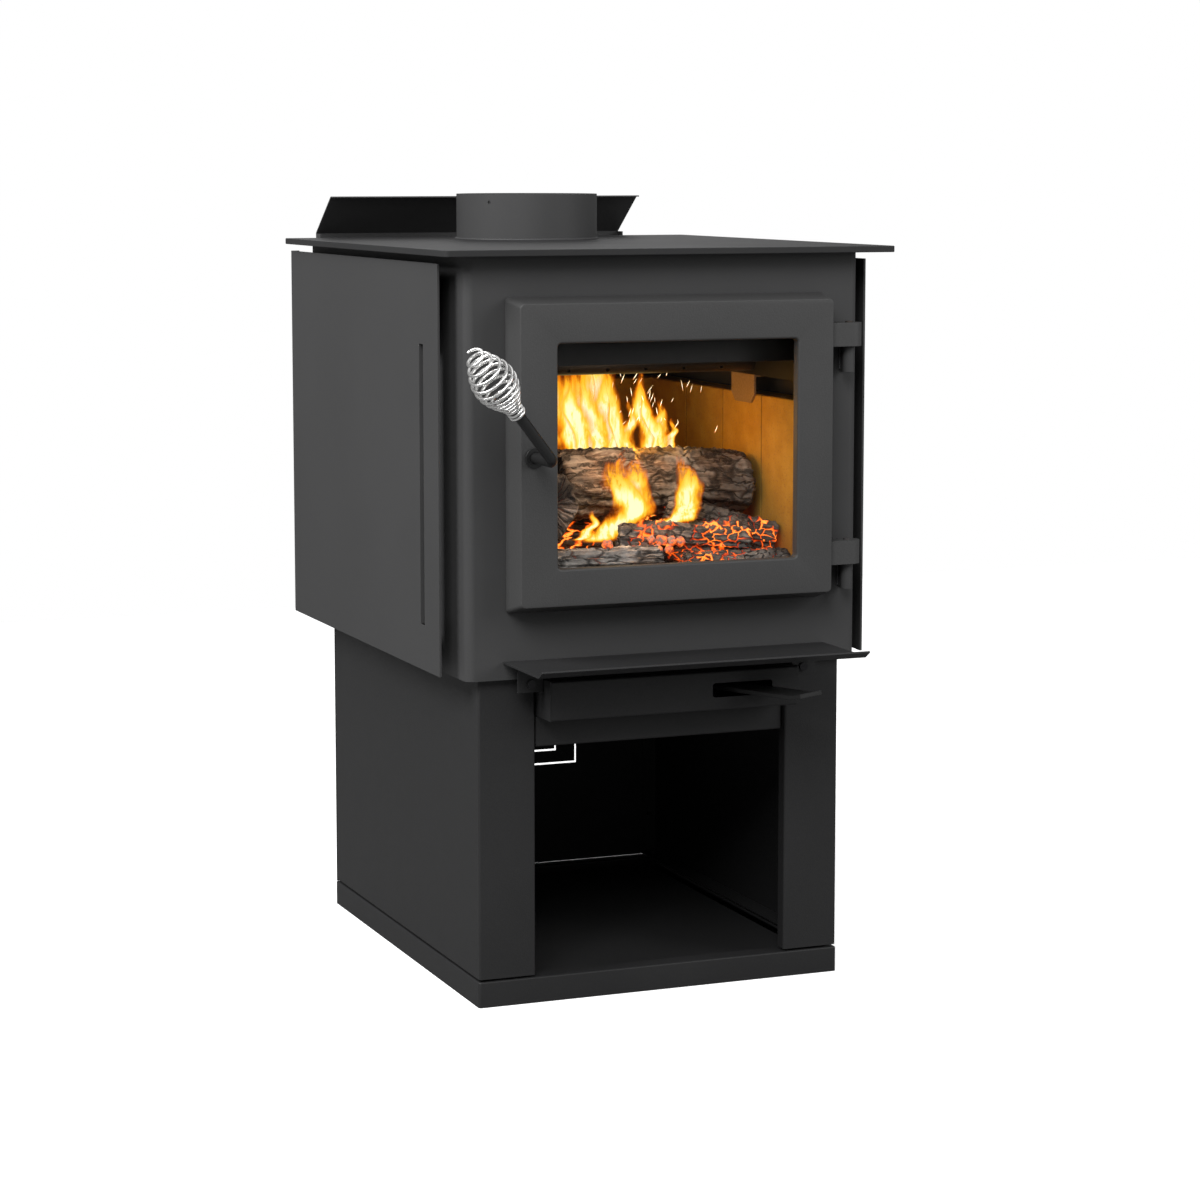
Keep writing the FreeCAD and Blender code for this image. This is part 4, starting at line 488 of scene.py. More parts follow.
def rounded_loop(low, high, corner, level, count):
    """Points at even steps round a rounded rectangle in X and Z at depth level: straight runs and quarter
    circles."""
    arc = np.linspace(0.0, np.pi / 2, 24)
    spots = []
    for quarter, (x, z) in enumerate(((high[0] - corner, high[1] - corner),
                                      (low[0] + corner, high[1] - corner),
                                      (low[0] + corner, low[1] + corner),
                                      (high[0] - corner, low[1] + corner))):
        angle = arc + quarter * np.pi / 2
        spots.append(np.stack([x + corner * np.cos(angle), z + corner * np.sin(angle)], axis=1))
    spots = np.concatenate(spots + [spots[0][:1]])
    run = np.concatenate([[0.0], np.cumsum(np.linalg.norm(np.diff(spots, axis=0), axis=1))])
    steps = np.linspace(0.0, run[-1], count, endpoint=False)
    return np.stack([np.interp(steps, run, spots[:, 0]), np.full(count, level),
                     np.interp(steps, run, spots[:, 1])], axis=1)


low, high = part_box("door_rope_gasket")
ROPE_WIDE, ROPE_POINTS = 0.010, 2400
loop = rounded_loop((low.x + ROPE_WIDE / 2, low.z + ROPE_WIDE / 2),
                    (high.x - ROPE_WIDE / 2, high.z - ROPE_WIDE / 2), 0.006,
                    (low.y + high.y) / 2, ROPE_POINTS)
beat = np.arange(ROPE_POINTS) / ROPE_POINTS * ROPE_PLAITS * 2 * np.pi
rope = tube("door_rope", loop, ROPE_WIDE / 2 * (0.96 + 0.04 * np.cos(beat)), 16, rope_fibre, closed=True,
            squash=(1.0, 0.5))
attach(rope, "door")
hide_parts("door_rope_gasket")

tape_fibre, tree, place = started("glass_tape")
weave = node(tree, "ShaderNodeTexChecker", Scale=900.0)
wire(tree, (place, weave.inputs["Vector"]))
fuzz = noise(tree, place, 1800.0, 2.0)
shader = node(tree, "ShaderNodeBsdfPrincipled", Roughness=0.95)
wire(tree, (ramp(tree,
                 sums(tree, "ADD", sums(tree, "MULTIPLY", weave.outputs["Fac"], 0.4),
                      sums(tree, "MULTIPLY", fuzz, 0.6)),
                 [(0.1, (0.02, 0.02, 0.02)), (0.9, (0.06, 0.058, 0.055))]), shader.inputs["Base Color"]),
     (bumped(tree, weave.outputs["Fac"], 0.5, 0.0004), shader.inputs["Normal"]),
     shown(tree, shader))
finished(tape_fibre, 0.0003, "glass_gasket")

# ---------------------------------------------------------------- handle
# Bent 11 mm bar, black, that turns in the door behind a small collar, and an air-cooled grip wound from 3.2
# mm spring wire: tight turns on the bar, then a wide open bulb that closes to a small ring. The wire is
# bright nickel.

lever_black = sprayed_finish("lever_black", (0.010, 0.010, 0.010), (0.020, 0.020, 0.020), 1400.0,
                             (0.30, 0.44), 0.15)
finished(lever_black, 0.0005, "handle_escutcheon", "air_lever")
finished(lever_black, 0.0, "handle_rod")

bright_wire, tree, place = started("bright_nickel_wire")
drawn = noise(tree, node(tree, "ShaderNodeUVMap", uv_map="surface").outputs[0], 1.0, 3.0, 0.6,
              (40.0, 900.0, 1.0))
cloud = noise(tree, place, 60.0, 3.0)
shader = node(tree, "ShaderNodeBsdfPrincipled", Metallic=1.0)
wire(tree, (ramp(tree, cloud, [(0.3, (0.74, 0.73, 0.72)), (0.7, (0.90, 0.90, 0.89))]),
            shader.inputs["Base Color"]),
     (spread(tree, drawn, 0.3, 0.7, 0.20, 0.34), shader.inputs["Roughness"]),
     (bumped(tree, drawn, 0.12, 0.0002), shader.inputs["Normal"]),
     shown(tree, shader))

ELBOW = np.array([-0.1559, -0.3416, 0.5637])
ROD_TILT, ROD_LEAN = math.radians(42.4), math.radians(19.6)
rod_way = np.array([-math.sin(ROD_TILT) * math.cos(ROD_LEAN), -math.sin(ROD_LEAN),
                    math.cos(ROD_TILT) * math.cos(ROD_LEAN)])
GRIP_START, GRIP_LONG, GRIP_TURNS, GRIP_WIRE = 0.072, 0.088, 13.0, 0.0032
BASE_RADIUS, BELLY_RADIUS, TIP_RADIUS = 0.0076, 0.0209, 0.0069
TIGHT_SHARE = 0.0036 * GRIP_TURNS / GRIP_LONG


def grip_line(share):
    """Helix about the rod: it climbs at first by one wire and a little more each turn, then faster with the
    square of the share, and its radius swells from the base as a raised half sine to the belly and narrows
    to the ring at the tip."""
    climb = TIGHT_SHARE * share + (1.0 - TIGHT_SHARE) * share ** 2
    rise = np.maximum(0.0, (climb - 0.12) / 0.88)
    bulge = np.sin(np.pi * rise ** 0.9) ** 1.25
    belly = BELLY_RADIUS - (BASE_RADIUS + TIP_RADIUS) / 2
    radius = BASE_RADIUS + (TIP_RADIUS - BASE_RADIUS) * rise + belly * bulge
    across = np.cross(rod_way, (0.0, 0.0, 1.0))
    across /= np.linalg.norm(across)
    third = np.cross(rod_way, across)
    angle = 2.0 * np.pi * GRIP_TURNS * share
    return (ELBOW + rod_way * (GRIP_START + GRIP_LONG * climb)[:, None]
            + (np.cos(angle)[:, None] * across + np.sin(angle)[:, None] * third) * radius[:, None])


WIRE_POINTS = 1040
wire_line = grip_line(np.linspace(0.0, 1.0, WIRE_POINTS))
count = np.arange(WIRE_POINTS)
taper = np.minimum(1.0, 0.35 + np.minimum(count, count[::-1]) / 5.0)
grip = tube("wire_grip", wire_line, GRIP_WIRE / 2 * taper, 12, bright_wire)
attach(grip, "handle")
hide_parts("handle_grip")

# ---------------------------------------------------------------- bare steel
# Air manifolds, burn tubes, retainers, latch and other inner parts are unpainted steel, browned and blued
# by heat, with soft soot in patches. They are welded, hooked or screwed inside the firebox and door.

heated_steel, tree, place = started("heated_steel")
cloud = noise(tree, place, 12.0, 5.0, 0.6)
rolled = noise(tree, place, 1.0, 3.0, 0.5, (30.0, 600.0, 600.0))
shader = node(tree, "ShaderNodeBsdfPrincipled", Metallic=0.75)
wire(tree, (ramp(tree, cloud,
                 [(0.25, (0.035, 0.032, 0.031)), (0.45, (0.09, 0.075, 0.065)), (0.6, (0.08, 0.085, 0.10)),
                               (0.8, (0.15, 0.13, 0.11))]), shader.inputs["Base Color"]),
     (spread(tree, cloud, 0.3, 0.7, 0.42, 0.7), shader.inputs["Roughness"]),
     (bumped(tree, rolled, 0.15, 0.0003), shader.inputs["Normal"]),
     shown(tree, shader))
finished(heated_steel, 0.0004, "rear_air_duct", "pilot_air_hood", "glass_retainers", "latch_finger",
         "latch_nut", "latch_keeper",
         "damper_plate")
finished(heated_steel, 0.0, "air_pivot", "pivot_bush", "hinge_pins")

# The air parts above the fire are black with baked soot; the clips that hold the wall bricks are scaled,
# and their pale warm tone is painted firelight.
baked_soot = sprayed_finish("baked_soot", (0.004, 0.004, 0.004), (0.011, 0.010, 0.009), 700.0,
                            (0.30, 0.50), 0.3, gloss=0.35)
finished(baked_soot, 0.0006, "air_manifold_left", "air_manifold_right", "airwash_deflector")
finished(baked_soot, 0.0, "burn_tubes")
# Pale warm colour on the retainer clips: scale, with painted firelight.
scaled_steel_with_firelight = sprayed_finish("scaled_steel_with_firelight", (0.20, 0.13, 0.07), (0.42, 0.30, 0.17), 420.0, (0.55, 0.75),
                              0.4)
finished(scaled_steel_with_firelight, 0.0006, "brick_retainers")

# ---------------------------------------------------------------- screws
# Pan head screws and their plain washers, blackened in a hot oxide bath, with a slight oil sheen.

oxide_black = sprayed_finish("black_oxide", (0.018, 0.018, 0.020), (0.045, 0.044, 0.045), 2200.0,
                             (0.28, 0.46), 0.12, 0.85)
finished(oxide_black, 0.0, "pedestal_floor_screws", "pedestal_washers", "pedestal_back_screws",
         "cross_panel_screws",
         "bracket_screws", "rear_shield_screws", "ash_lip_screws", "glass_retainer_screws")

# ---------------------------------------------------------------- firebricks and baffle
# Pressed porous firebricks stand round the chamber and lie on its floor: buff clay coloured a saturated
# orange as painted firelight, and darker towards the bottom. Pale pressed fibre boards and a blanket lie
# above the burn tubes.

def brick_finish(name, joint_pitch):
    """Porous fired clay: mottled buff pushed to a saturated orange as painted firelight, pitted, with
    painted shade in the pits, and darker towards the bottom. Where joint_pitch is given, the joints that
    far apart from the rear face forward are dark with soot."""
    made, tree, place = started(name)
    body = noise(tree, place, 40.0, 6.0, 0.6)
    pores = node(tree, "ShaderNodeTexVoronoi", Scale=260.0)
    parted = node(tree, "ShaderNodeSeparateXYZ")
    wire(tree, (place, pores.inputs["Vector"]), (place, parted.inputs[0]))
    pitted = spread(tree, pores.outputs["Distance"], 0.05, 0.30)
    # The bricks are darkened towards the bottom of the chamber.
    low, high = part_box("rear_bricks")
    blotches = noise(tree, place, 14.0, 4.0)
    lift = sums(tree, "ADD", parted.outputs[2], sums(tree, "MULTIPLY", blotches, 0.10))
    low_dark_and_joint_soot = spread(tree, lift, low.z + 0.03, high.z + 0.02, 0.65, 0.0, True)
    if joint_pitch:
        behind = sums(tree, "SUBTRACT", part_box("wall_bricks_right")[1].y, parted.outputs[1])
        share = sums(tree, "FRACT", sums(tree, "DIVIDE", behind, joint_pitch), 0.0)
        near = sums(tree, "MINIMUM", share, sums(tree, "SUBTRACT", 1.0, share))
        low_dark_and_joint_soot = sums(tree, "MAXIMUM", low_dark_and_joint_soot, spread(tree, near, 0.006, 0.018, 0.95, 0.0))
    # The clay's colour is a saturated orange: painted firelight.
    fire_lit_orange = ramp(tree, body,
                  [(0.25, (0.38, 0.20, 0.018)), (0.5, (0.46, 0.26, 0.028)), (0.78, (0.54, 0.33, 0.045))])
    # The pits are darker: painted shade in them.
    pored = blended(tree, pitted, (0.30, 0.17, 0.04), fire_lit_orange)
    shader = node(tree, "ShaderNodeBsdfPrincipled", Roughness=0.9)
    wire(tree, (blended(tree, low_dark_and_joint_soot, pored, (0.030, 0.018, 0.006)), shader.inputs["Base Color"]),
         (bumped(tree, sums(tree, "ADD", body, sums(tree, "MULTIPLY", pitted, 0.4)), 0.4, 0.0008),
          shader.inputs["Normal"]),
         shown(tree, shader))
    return made


BRICK_PITCH = 0.1022
fire_brick = brick_finish("firebrick", 0.0)
finished(fire_brick, 0.0012, "floor_bricks", "rear_bricks")
finished(brick_finish("wall_firebrick", BRICK_PITCH), 0.0, "wall_bricks_left", "wall_bricks_right")

fibre_board, tree, place = started("fibre_board")
flock = noise(tree, place, 300.0, 5.0, 0.65)
blotches = noise(tree, place, 10.0, 3.0)
shader = node(tree, "ShaderNodeBsdfPrincipled", Roughness=0.97)
pale = ramp(tree, flock, [(0.3, (0.55, 0.52, 0.46)), (0.7, (0.80, 0.77, 0.70))])
wire(tree, (blended(tree, spread(tree, blotches, 0.4, 0.65, 0.0, 0.6), pale, (0.12, 0.10, 0.08)),
            shader.inputs["Base Color"]),
     (bumped(tree, flock, 0.5, 0.0008), shader.inputs["Normal"]),
     shown(tree, shader))
finished(fibre_board, 0.001, "baffle_boards", "baffle_blanket")

# ---------------------------------------------------------------- logs
# Split and round firewood stacked on the floor bricks: a big round log across the stack, one that points
# out of the door at the left, charred ones in front and under them. Bark is deeply furrowed; the ends show
# rings and cracks.

def ripple(around, along, seed, waves, around_most, along_most):
    """Sum of seeded sine waves over the two parameters, each of whole cycles around and fading with its
    count."""
    dice = np.random.default_rng(seed)
    total = np.zeros(np.broadcast(around, along).shape)
    for cycles, rate, phase in zip(dice.integers(1, around_most, waves),
                                   dice.uniform(0.3, along_most, waves),
                                   dice.uniform(0.0, 2.0 * np.pi, waves)):
        total += np.sin(cycles * around + rate * along + phase) / waves ** 0.5
    return total


def log_shape(name, start, end, radius, material, seed, bark=0.0022, rows=150, columns=72):
    """Round log from start to end: rings of points whose radius is the log's own, less slow swellings,
    furrows that run with the grain and fine flakes, with ends that round over and close with rings pushed
    slightly in and out."""
    start, end = np.array(start, float), np.array(end, float)
    way = (end - start) / np.linalg.norm(end - start)
    side = np.cross(way, (0.0, 0.0, 1.0))
    side /= np.linalg.norm(side)
    over = np.cross(side, way)
    around = np.linspace(0.0, 2.0 * np.pi, columns, endpoint=False)[None, :]
    share = np.linspace(0.0, 1.0, rows)[:, None]
    length = np.linalg.norm(end - start)
    reach = share * length
    furrow = ripple(around, reach * 30.0, seed, 24, 26, 3.0)
    swell = ripple(around, reach * 18.0, seed + 1, 5, 3, 1.6)
    flake = ripple(around, reach * 160.0, seed + 2, 30, 40, 6.0)
    size = radius * (1.0 + 0.045 * swell) + bark * (np.tanh(furrow * 1.6) - 0.6) + bark * 0.35 * flake
    edge = np.minimum(reach, length - reach) / 0.006
    size = size * (1.0 - 0.10 * np.clip(1.0 - edge, 0.0, 1.0) ** 2)
    drift = 0.05 * radius * np.sin(reach * 22.0 + seed)
    middle = start + way * reach + over * drift
    ring = np.cos(around)[..., None] * side + np.sin(around)[..., None] * over
    body = middle[:, None] + size[..., None] * ring
    inward = np.array([0.97, 0.85, 0.68, 0.5, 0.32, 0.15, 0.03])[:, None]
    rough = 0.0012 * ripple(around, inward * 9.0, seed + 3, 12, 9, 3.0)
    pushed = way * (0.0008 + rough)[..., None]
    cap_end = middle[-1] + (size[-1] * inward)[..., None] * ring[0] + pushed
    cap_start = (middle[0] + (size[0] * inward)[..., None] * ring[0] - pushed)[::-1]
    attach(surface(name, np.concatenate([cap_start, body, cap_end]), material), "stove")


burning, takes, gives = group_of("burning_bark",
    [("Char", "NodeSocketFloat", 0.4), ("Ash", "NodeSocketFloat", 0.3), ("Glow", "NodeSocketFloat", 0.5),
     ("Plates", "NodeSocketVector", (16.0, 8.0, 1.0))],
    [("Colour", "NodeSocketColor"), ("Normal", "NodeSocketVector"), ("Ember", "NodeSocketFloat")])
place = node(burning, "ShaderNodeTexCoord").outputs["Object"]
around = node(burning, "ShaderNodeUVMap", uv_map="surface").outputs[0]
plates = node(burning, "ShaderNodeTexVoronoi", feature="DISTANCE_TO_EDGE", Scale=1.0)
laid = node(burning, "ShaderNodeVectorMath", operation="MULTIPLY")
warped = node(burning, "ShaderNodeTexNoise", Scale=60.0, Detail=3.0)
shifted = node(burning, "ShaderNodeVectorMath", operation="MULTIPLY_ADD")
shifted.inputs[1].default_value = (0.10, 0.07, 0.0)
wire(burning, (place, warped.inputs["Vector"]), (warped.outputs["Color"], shifted.inputs[0]),
     (around, shifted.inputs[2]),
     (shifted.outputs[0], laid.inputs[0]), (takes["Plates"], laid.inputs[1]),
     (laid.outputs[0], plates.inputs["Vector"]))
crack = spread(burning, plates.outputs["Distance"], 0.02, 0.13, 1.0, 0.0)
fibre = noise(burning, around, 1.0, 6.0, 0.7, (64.0, 6.0, 1.0))
cloud = noise(burning, place, 26.0, 5.0, 0.62)
bark = ramp(burning, fibre,
            [(0.30, (0.022, 0.014, 0.010)), (0.44, (0.10, 0.066, 0.048)), (0.54, (0.27, 0.20, 0.155)),
             (0.68, (0.58, 0.52, 0.46))])
ashy = node(burning, "ShaderNodeMath", operation="MULTIPLY")
wire(burning, (spread(burning, cloud, 0.42, 0.62), ashy.inputs[0]), (takes["Ash"], ashy.inputs[1]))
greyed = blended(burning, ashy.outputs[0], bark, (0.52, 0.50, 0.47))
burnt = node(burning, "ShaderNodeMath", operation="MULTIPLY")
scorch = noise(burning, place, 17.0, 4.0, 0.6)
wire(burning, (spread(burning, scorch, 0.38, 0.55), burnt.inputs[0]), (takes["Char"], burnt.inputs[1]))
charred = blended(burning, burnt.outputs[0], greyed, (0.008, 0.007, 0.007))
creased = blended(burning, sums(burning, "MULTIPLY", crack, 0.8), charred, (0.006, 0.004, 0.003))
hot = node(burning, "ShaderNodeMath", operation="MULTIPLY")
patch = spread(burning, noise(burning, place, 21.0, 3.0), 0.46, 0.62)
wire(burning, (sums(burning, "MULTIPLY", sums(burning, "MULTIPLY", crack, crack), patch), hot.inputs[0]),
     (takes["Glow"], hot.inputs[1]),
     (creased, gives["Colour"]), (hot.outputs[0], gives["Ember"]),
     (bumped(burning,
             sums(burning, "SUBTRACT", sums(burning, "ADD", fibre, sums(burning, "MULTIPLY", cloud, 0.5)),
                  crack), 0.9, 0.0016), gives["Normal"]))


def firewood(name, char, ash, glow, heat, plates):
    """Material of one kind of burning log; its glowing cracks shade from deep red to orange."""
    made = bpy.data.materials.new(name)
    tree = tree_of(made)
    bark = node(tree, "ShaderNodeGroup", node_tree=burning)
    for word, value in (("Char", char), ("Ash", ash), ("Glow", glow), ("Plates", (*plates, 1.0))):
        bark.inputs[word].default_value = value
    shader = node(tree, "ShaderNodeBsdfPrincipled", Roughness=0.9)
    shader.inputs["Emission Strength"].default_value = heat
    wire(tree, (bark.outputs["Colour"], shader.inputs["Base Color"]),
         (bark.outputs["Normal"], shader.inputs["Normal"]),
         (ramp(tree, bark.outputs["Ember"],
               [(0.10, (0.0, 0.0, 0.0)), (0.35, (0.35, 0.02, 0.0)), (0.65, (0.9, 0.13, 0.005)),
                (1.0, (1.0, 0.36, 0.05))]),
          shader.inputs["Emission Color"]),
         shown(tree, shader))
    return made


barked = firewood("barked_log", 0.55, 0.75, 0.0, 0.0, (20.0, 6.0))
scorched = firewood("scorched_log", 0.97, 0.15, 0.12, 1.5, (16.0, 9.0))
glowing = firewood("glowing_log", 0.72, 0.55, 1.0, 1.7, (11.0, 12.0))
log_shape("big_log", (-0.055, -0.080, 0.514), (0.166, -0.072, 0.508), 0.037, barked, 11, bark=0.0026)
log_shape("pointing_log", (-0.0955, -0.170, 0.503), (-0.104, 0.040, 0.497), 0.037, scorched, 23)
log_shape("sloping_log", (0.062, -0.110, 0.484), (0.170, -0.150, 0.452), 0.019, glowing, 35, bark=0.0030)
log_shape("front_log", (-0.012, -0.150, 0.461), (0.132, -0.164, 0.455), 0.020, glowing, 47, bark=0.0026)
log_shape("grey_log", (-0.165, -0.172, 0.441), (0.022, -0.183, 0.440), 0.0165,
          firewood("grey_log", 0.35, 0.95, 0.3, 1.5, (14.0, 8.0)), 59)
log_shape("right_log", (0.050, -0.186, 0.438), (0.168, -0.186, 0.434), 0.0125, glowing, 61, rows=90)
log_shape("under_log_left", (-0.088, -0.180, 0.409), (-0.080, 0.150, 0.409), 0.028, scorched, 71, rows=110)
log_shape("under_log_middle", (0.010, -0.182, 0.408), (0.014, 0.160, 0.409), 0.026, glowing, 83, rows=110)
log_shape("under_log_right", (0.112, -0.180, 0.409), (0.106, 0.150, 0.409), 0.028, scorched, 97, rows=110)
log_shape("rear_log", (-0.155, 0.050, 0.466), (0.150, 0.070, 0.470), 0.030, scorched, 101, rows=120)
log_shape("middle_log", (-0.150, -0.050, 0.455), (0.160, -0.040, 0.452), 0.021, glowing, 113, rows=120)

# ---------------------------------------------------------------- embers and ash
# Bed of grey ash on the floor bricks with glowing coals in it, and a few bigger coals, cracked into cubes,
# that have fallen from the logs.

ember_bed, tree, place = started("ember_bed")
coals = node(tree, "ShaderNodeTexVoronoi", Scale=90.0)
wire(tree, (place, coals.inputs["Vector"]))
patch = noise(tree, place, 16.0, 4.0)
hot = sums(tree, "MULTIPLY", spread(tree, coals.outputs["Distance"], 0.15, 0.55, 1.0, 0.0),
           spread(tree, patch, 0.40, 0.58))
dust = noise(tree, place, 120.0, 5.0)
shader = node(tree, "ShaderNodeBsdfPrincipled", Roughness=0.97)
shader.inputs["Emission Strength"].default_value = 2.2
wire(tree, (ramp(tree, dust, [(0.3, (0.10, 0.095, 0.09)), (0.7, (0.42, 0.40, 0.38))]),
            shader.inputs["Base Color"]),
     (ramp(tree, hot, [(0.1, (0.0, 0.0, 0.0)), (0.45, (0.7, 0.06, 0.0)), (0.9, (1.0, 0.35, 0.05))]),
      shader.inputs["Emission Color"]),
     (bumped(tree, sums(tree, "ADD", dust, hot), 0.8, 0.002), shader.inputs["Normal"]),
     shown(tree, shader))
floor_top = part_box("floor_bricks")[1].z
BED_HALF, BED_FRONT, BED_BACK = 0.172, -0.194, 0.196
across, back = np.meshgrid(np.linspace(-BED_HALF, BED_HALF, 190), np.linspace(BED_FRONT, BED_BACK, 200))
mounds = ripple(across * 40.0, back * 45.0, 7, 14, 3, 1.6)
crumbs = ripple(across * 300.0, back * 320.0, 8, 30, 4, 3.0)
heap = 0.014 + 0.004 * mounds + 0.0012 * crumbs
brim = np.minimum(BED_HALF - np.abs(across), np.minimum(back - BED_FRONT, BED_BACK - back)) / 0.02
heap = np.maximum(0.0005, heap * np.clip(brim, 0.0, 1.0) ** 0.5)
bed = surface("ember_bed", np.stack([across, back, floor_top + heap], axis=2), ember_bed,
              closed_round=False, ends="open")
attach(bed, "stove")

live_coal, tree, place = started("live_coal")
crust = noise(tree, place, 190.0, 4.0, 0.6)
shader = node(tree, "ShaderNodeBsdfPrincipled", Roughness=0.9)
shader.inputs["Emission Strength"].default_value = 1.3
wire(tree, (ramp(tree, crust, [(0.35, (0.02, 0.015, 0.012)), (0.6, (0.25, 0.20, 0.17))]),
            shader.inputs["Base Color"]),
     (ramp(tree, crust, [(0.34, (1.0, 0.36, 0.06)), (0.47, (0.75, 0.07, 0.0)), (0.58, (0.03, 0.0, 0.0))]),
      shader.inputs["Emission Color"]),
     (bumped(tree, crust, 0.8, 0.0015), shader.inputs["Normal"]),
     shown(tree, shader))


def coal_shape(centre, size, seed):
    """Rounded block: each point of a sphere grid is divided by the eighth-power mean of its parts, turned
    by a seeded angle, stretched by seeded amounts and roughened. Returns its rows and columns of points."""
    dice = np.random.default_rng(seed)
    tip, around = np.meshgrid(np.linspace(0.06, np.pi - 0.06, 14),
                              np.linspace(0.0, 2.0 * np.pi, 20, endpoint=False), indexing="ij")
    ball = np.stack([np.sin(tip) * np.cos(around), np.sin(tip) * np.sin(around), np.cos(tip)], axis=2)
    block = ball / ((ball ** 8).sum(axis=2, keepdims=True) ** (1 / 8))
    block *= (1.0 + 0.06 * ripple(around, tip * 3.0, seed, 8, 5, 2.0))[..., None]
    spin = np.linalg.qr(dice.normal(size=(3, 3)))[0]
    return np.array(centre) + (block * dice.uniform(0.75, 1.25, 3) * size) @ spin.T


COALS = ((0.016, -0.1795, 0.4620, 0.0042), (0.027, -0.1800, 0.4615, 0.0046),
         (0.038, -0.1800, 0.4600, 0.0040), (0.021, -0.1850, 0.4530, 0.0044),
         (0.033, -0.1850, 0.4520, 0.0042), (0.048, -0.1800, 0.4590, 0.0036),
         (-0.034, -0.1800, 0.4590, 0.0038))
for i, (x, y, z, size) in enumerate(COALS):
    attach(surface(f"coal_{i}", coal_shape((x, y, z), size, 200 + i), live_coal), "stove")

# ---------------------------------------------------------------- flames and sparks
# Bright yellow tongues that rise behind and in front of the big log, clear at their edges, and short sparks
# above.

flame_light = bpy.data.materials.new("flame")
tree = tree_of(flame_light)
around = node(tree, "ShaderNodeUVMap", uv_map="surface").outputs[0]
place = node(tree, "ShaderNodeTexCoord").outputs["Object"]
parted = node(tree, "ShaderNodeSeparateXYZ")
lick = noise(tree, place, 1.0, 3.0, 0.55, (70.0, 70.0, 22.0))
strand = noise(tree, place, 1.0, 3.0, 0.6, (190.0, 190.0, 34.0))
wire(tree, (around, parted.inputs[0]))
side = sums(tree, "ABSOLUTE", sums(tree, "SUBTRACT", parted.outputs[0], 0.5), 0.0)
core = spread(tree,
              sums(tree, "ADD", side, sums(tree, "MULTIPLY", sums(tree, "SUBTRACT", lick, 0.5), 0.55)),
              0.06, 0.47, 1.0, 0.0, True)
rise = sums(tree, "ADD", parted.outputs[1],
            sums(tree, "MULTIPLY", sums(tree, "SUBTRACT", strand, 0.5), 0.5))
crown = spread(tree, rise, 0.55, 1.0, 1.0, 0.0, True)
root = spread(tree, parted.outputs[1], 0.0, 0.12, 0.0, 1.0, True)
dense = sums(tree, "MULTIPLY", sums(tree, "MULTIPLY", core, crown), root)
heat = sums(tree, "MULTIPLY", dense, spread(tree, strand, 0.25, 0.6, 0.55, 1.15))
shader = node(tree, "ShaderNodeBsdfPrincipled", Roughness=1.0)
shader.inputs["Specular IOR Level"].default_value = 0.0
shader.inputs["Emission Strength"].default_value = 1.25
wire(tree, (ramp(tree, heat,
                 [(0.04, (0.60, 0.06, 0.0)), (0.22, (0.95, 0.24, 0.005)), (0.48, (1.0, 0.48, 0.02)),
                  (0.74, (1.0, 0.72, 0.12)),
                              (0.97, (1.0, 0.92, 0.52))]), shader.inputs["Emission Color"]),
     (ramp(tree, heat, [(0.0, (0.02, 0.005, 0.0)), (1.0, (0.04, 0.02, 0.005))]),
      shader.inputs["Base Color"]),
     (spread(tree, dense, 0.02, 0.50, 0.0, 0.96), shader.inputs["Alpha"]),
     shown(tree, shader))
FACING, TONGUE_ROWS = math.radians(-22.0), 56


def tongue(name, spine, widths, seed, turn=0.0):
    """Curved ribbon: a smooth line through the spine points, from which each row reaches half its width to
    both sides along a level direction that twists slowly with height, with a hollow across and seeded waves
    in and out."""
    spine, widths = np.array(spine, float), np.array(widths, float)
    share = np.linspace(0.0, 1.0, TONGUE_ROWS)
    knots = np.linspace(0.0, 1.0, len(spine))
    weights = np.polyfit(knots, np.column_stack([spine, widths]), min(len(spine) - 1, 4))
    powers = share[:, None] ** np.arange(len(weights) - 1, -1, -1)
    line = powers @ weights
    heading = FACING + turn + 0.35 * np.sin(share * 4.0 + seed)
    side = np.stack([np.cos(heading), np.sin(heading), np.zeros(TONGUE_ROWS)], axis=1)
    ahead = np.stack([np.sin(heading), -np.cos(heading), np.zeros(TONGUE_ROWS)], axis=1)
    across = np.linspace(-1.0, 1.0, 17)[None, :, None]
    wave = 0.0022 * np.sin(share * 15.0 + seed)[:, None, None]
    half = (line[:, 3] / 2)[:, None, None]
    hollow = 0.20 * half * (1 - across ** 2) + wave
    ribbon = line[:, None, :3] + side[:, None] * across * half
    ribbon = ribbon + ahead[:, None] * hollow + side[:, None] * wave
    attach(surface(name, ribbon, flame_light, closed_round=False, ends="open"), "stove")


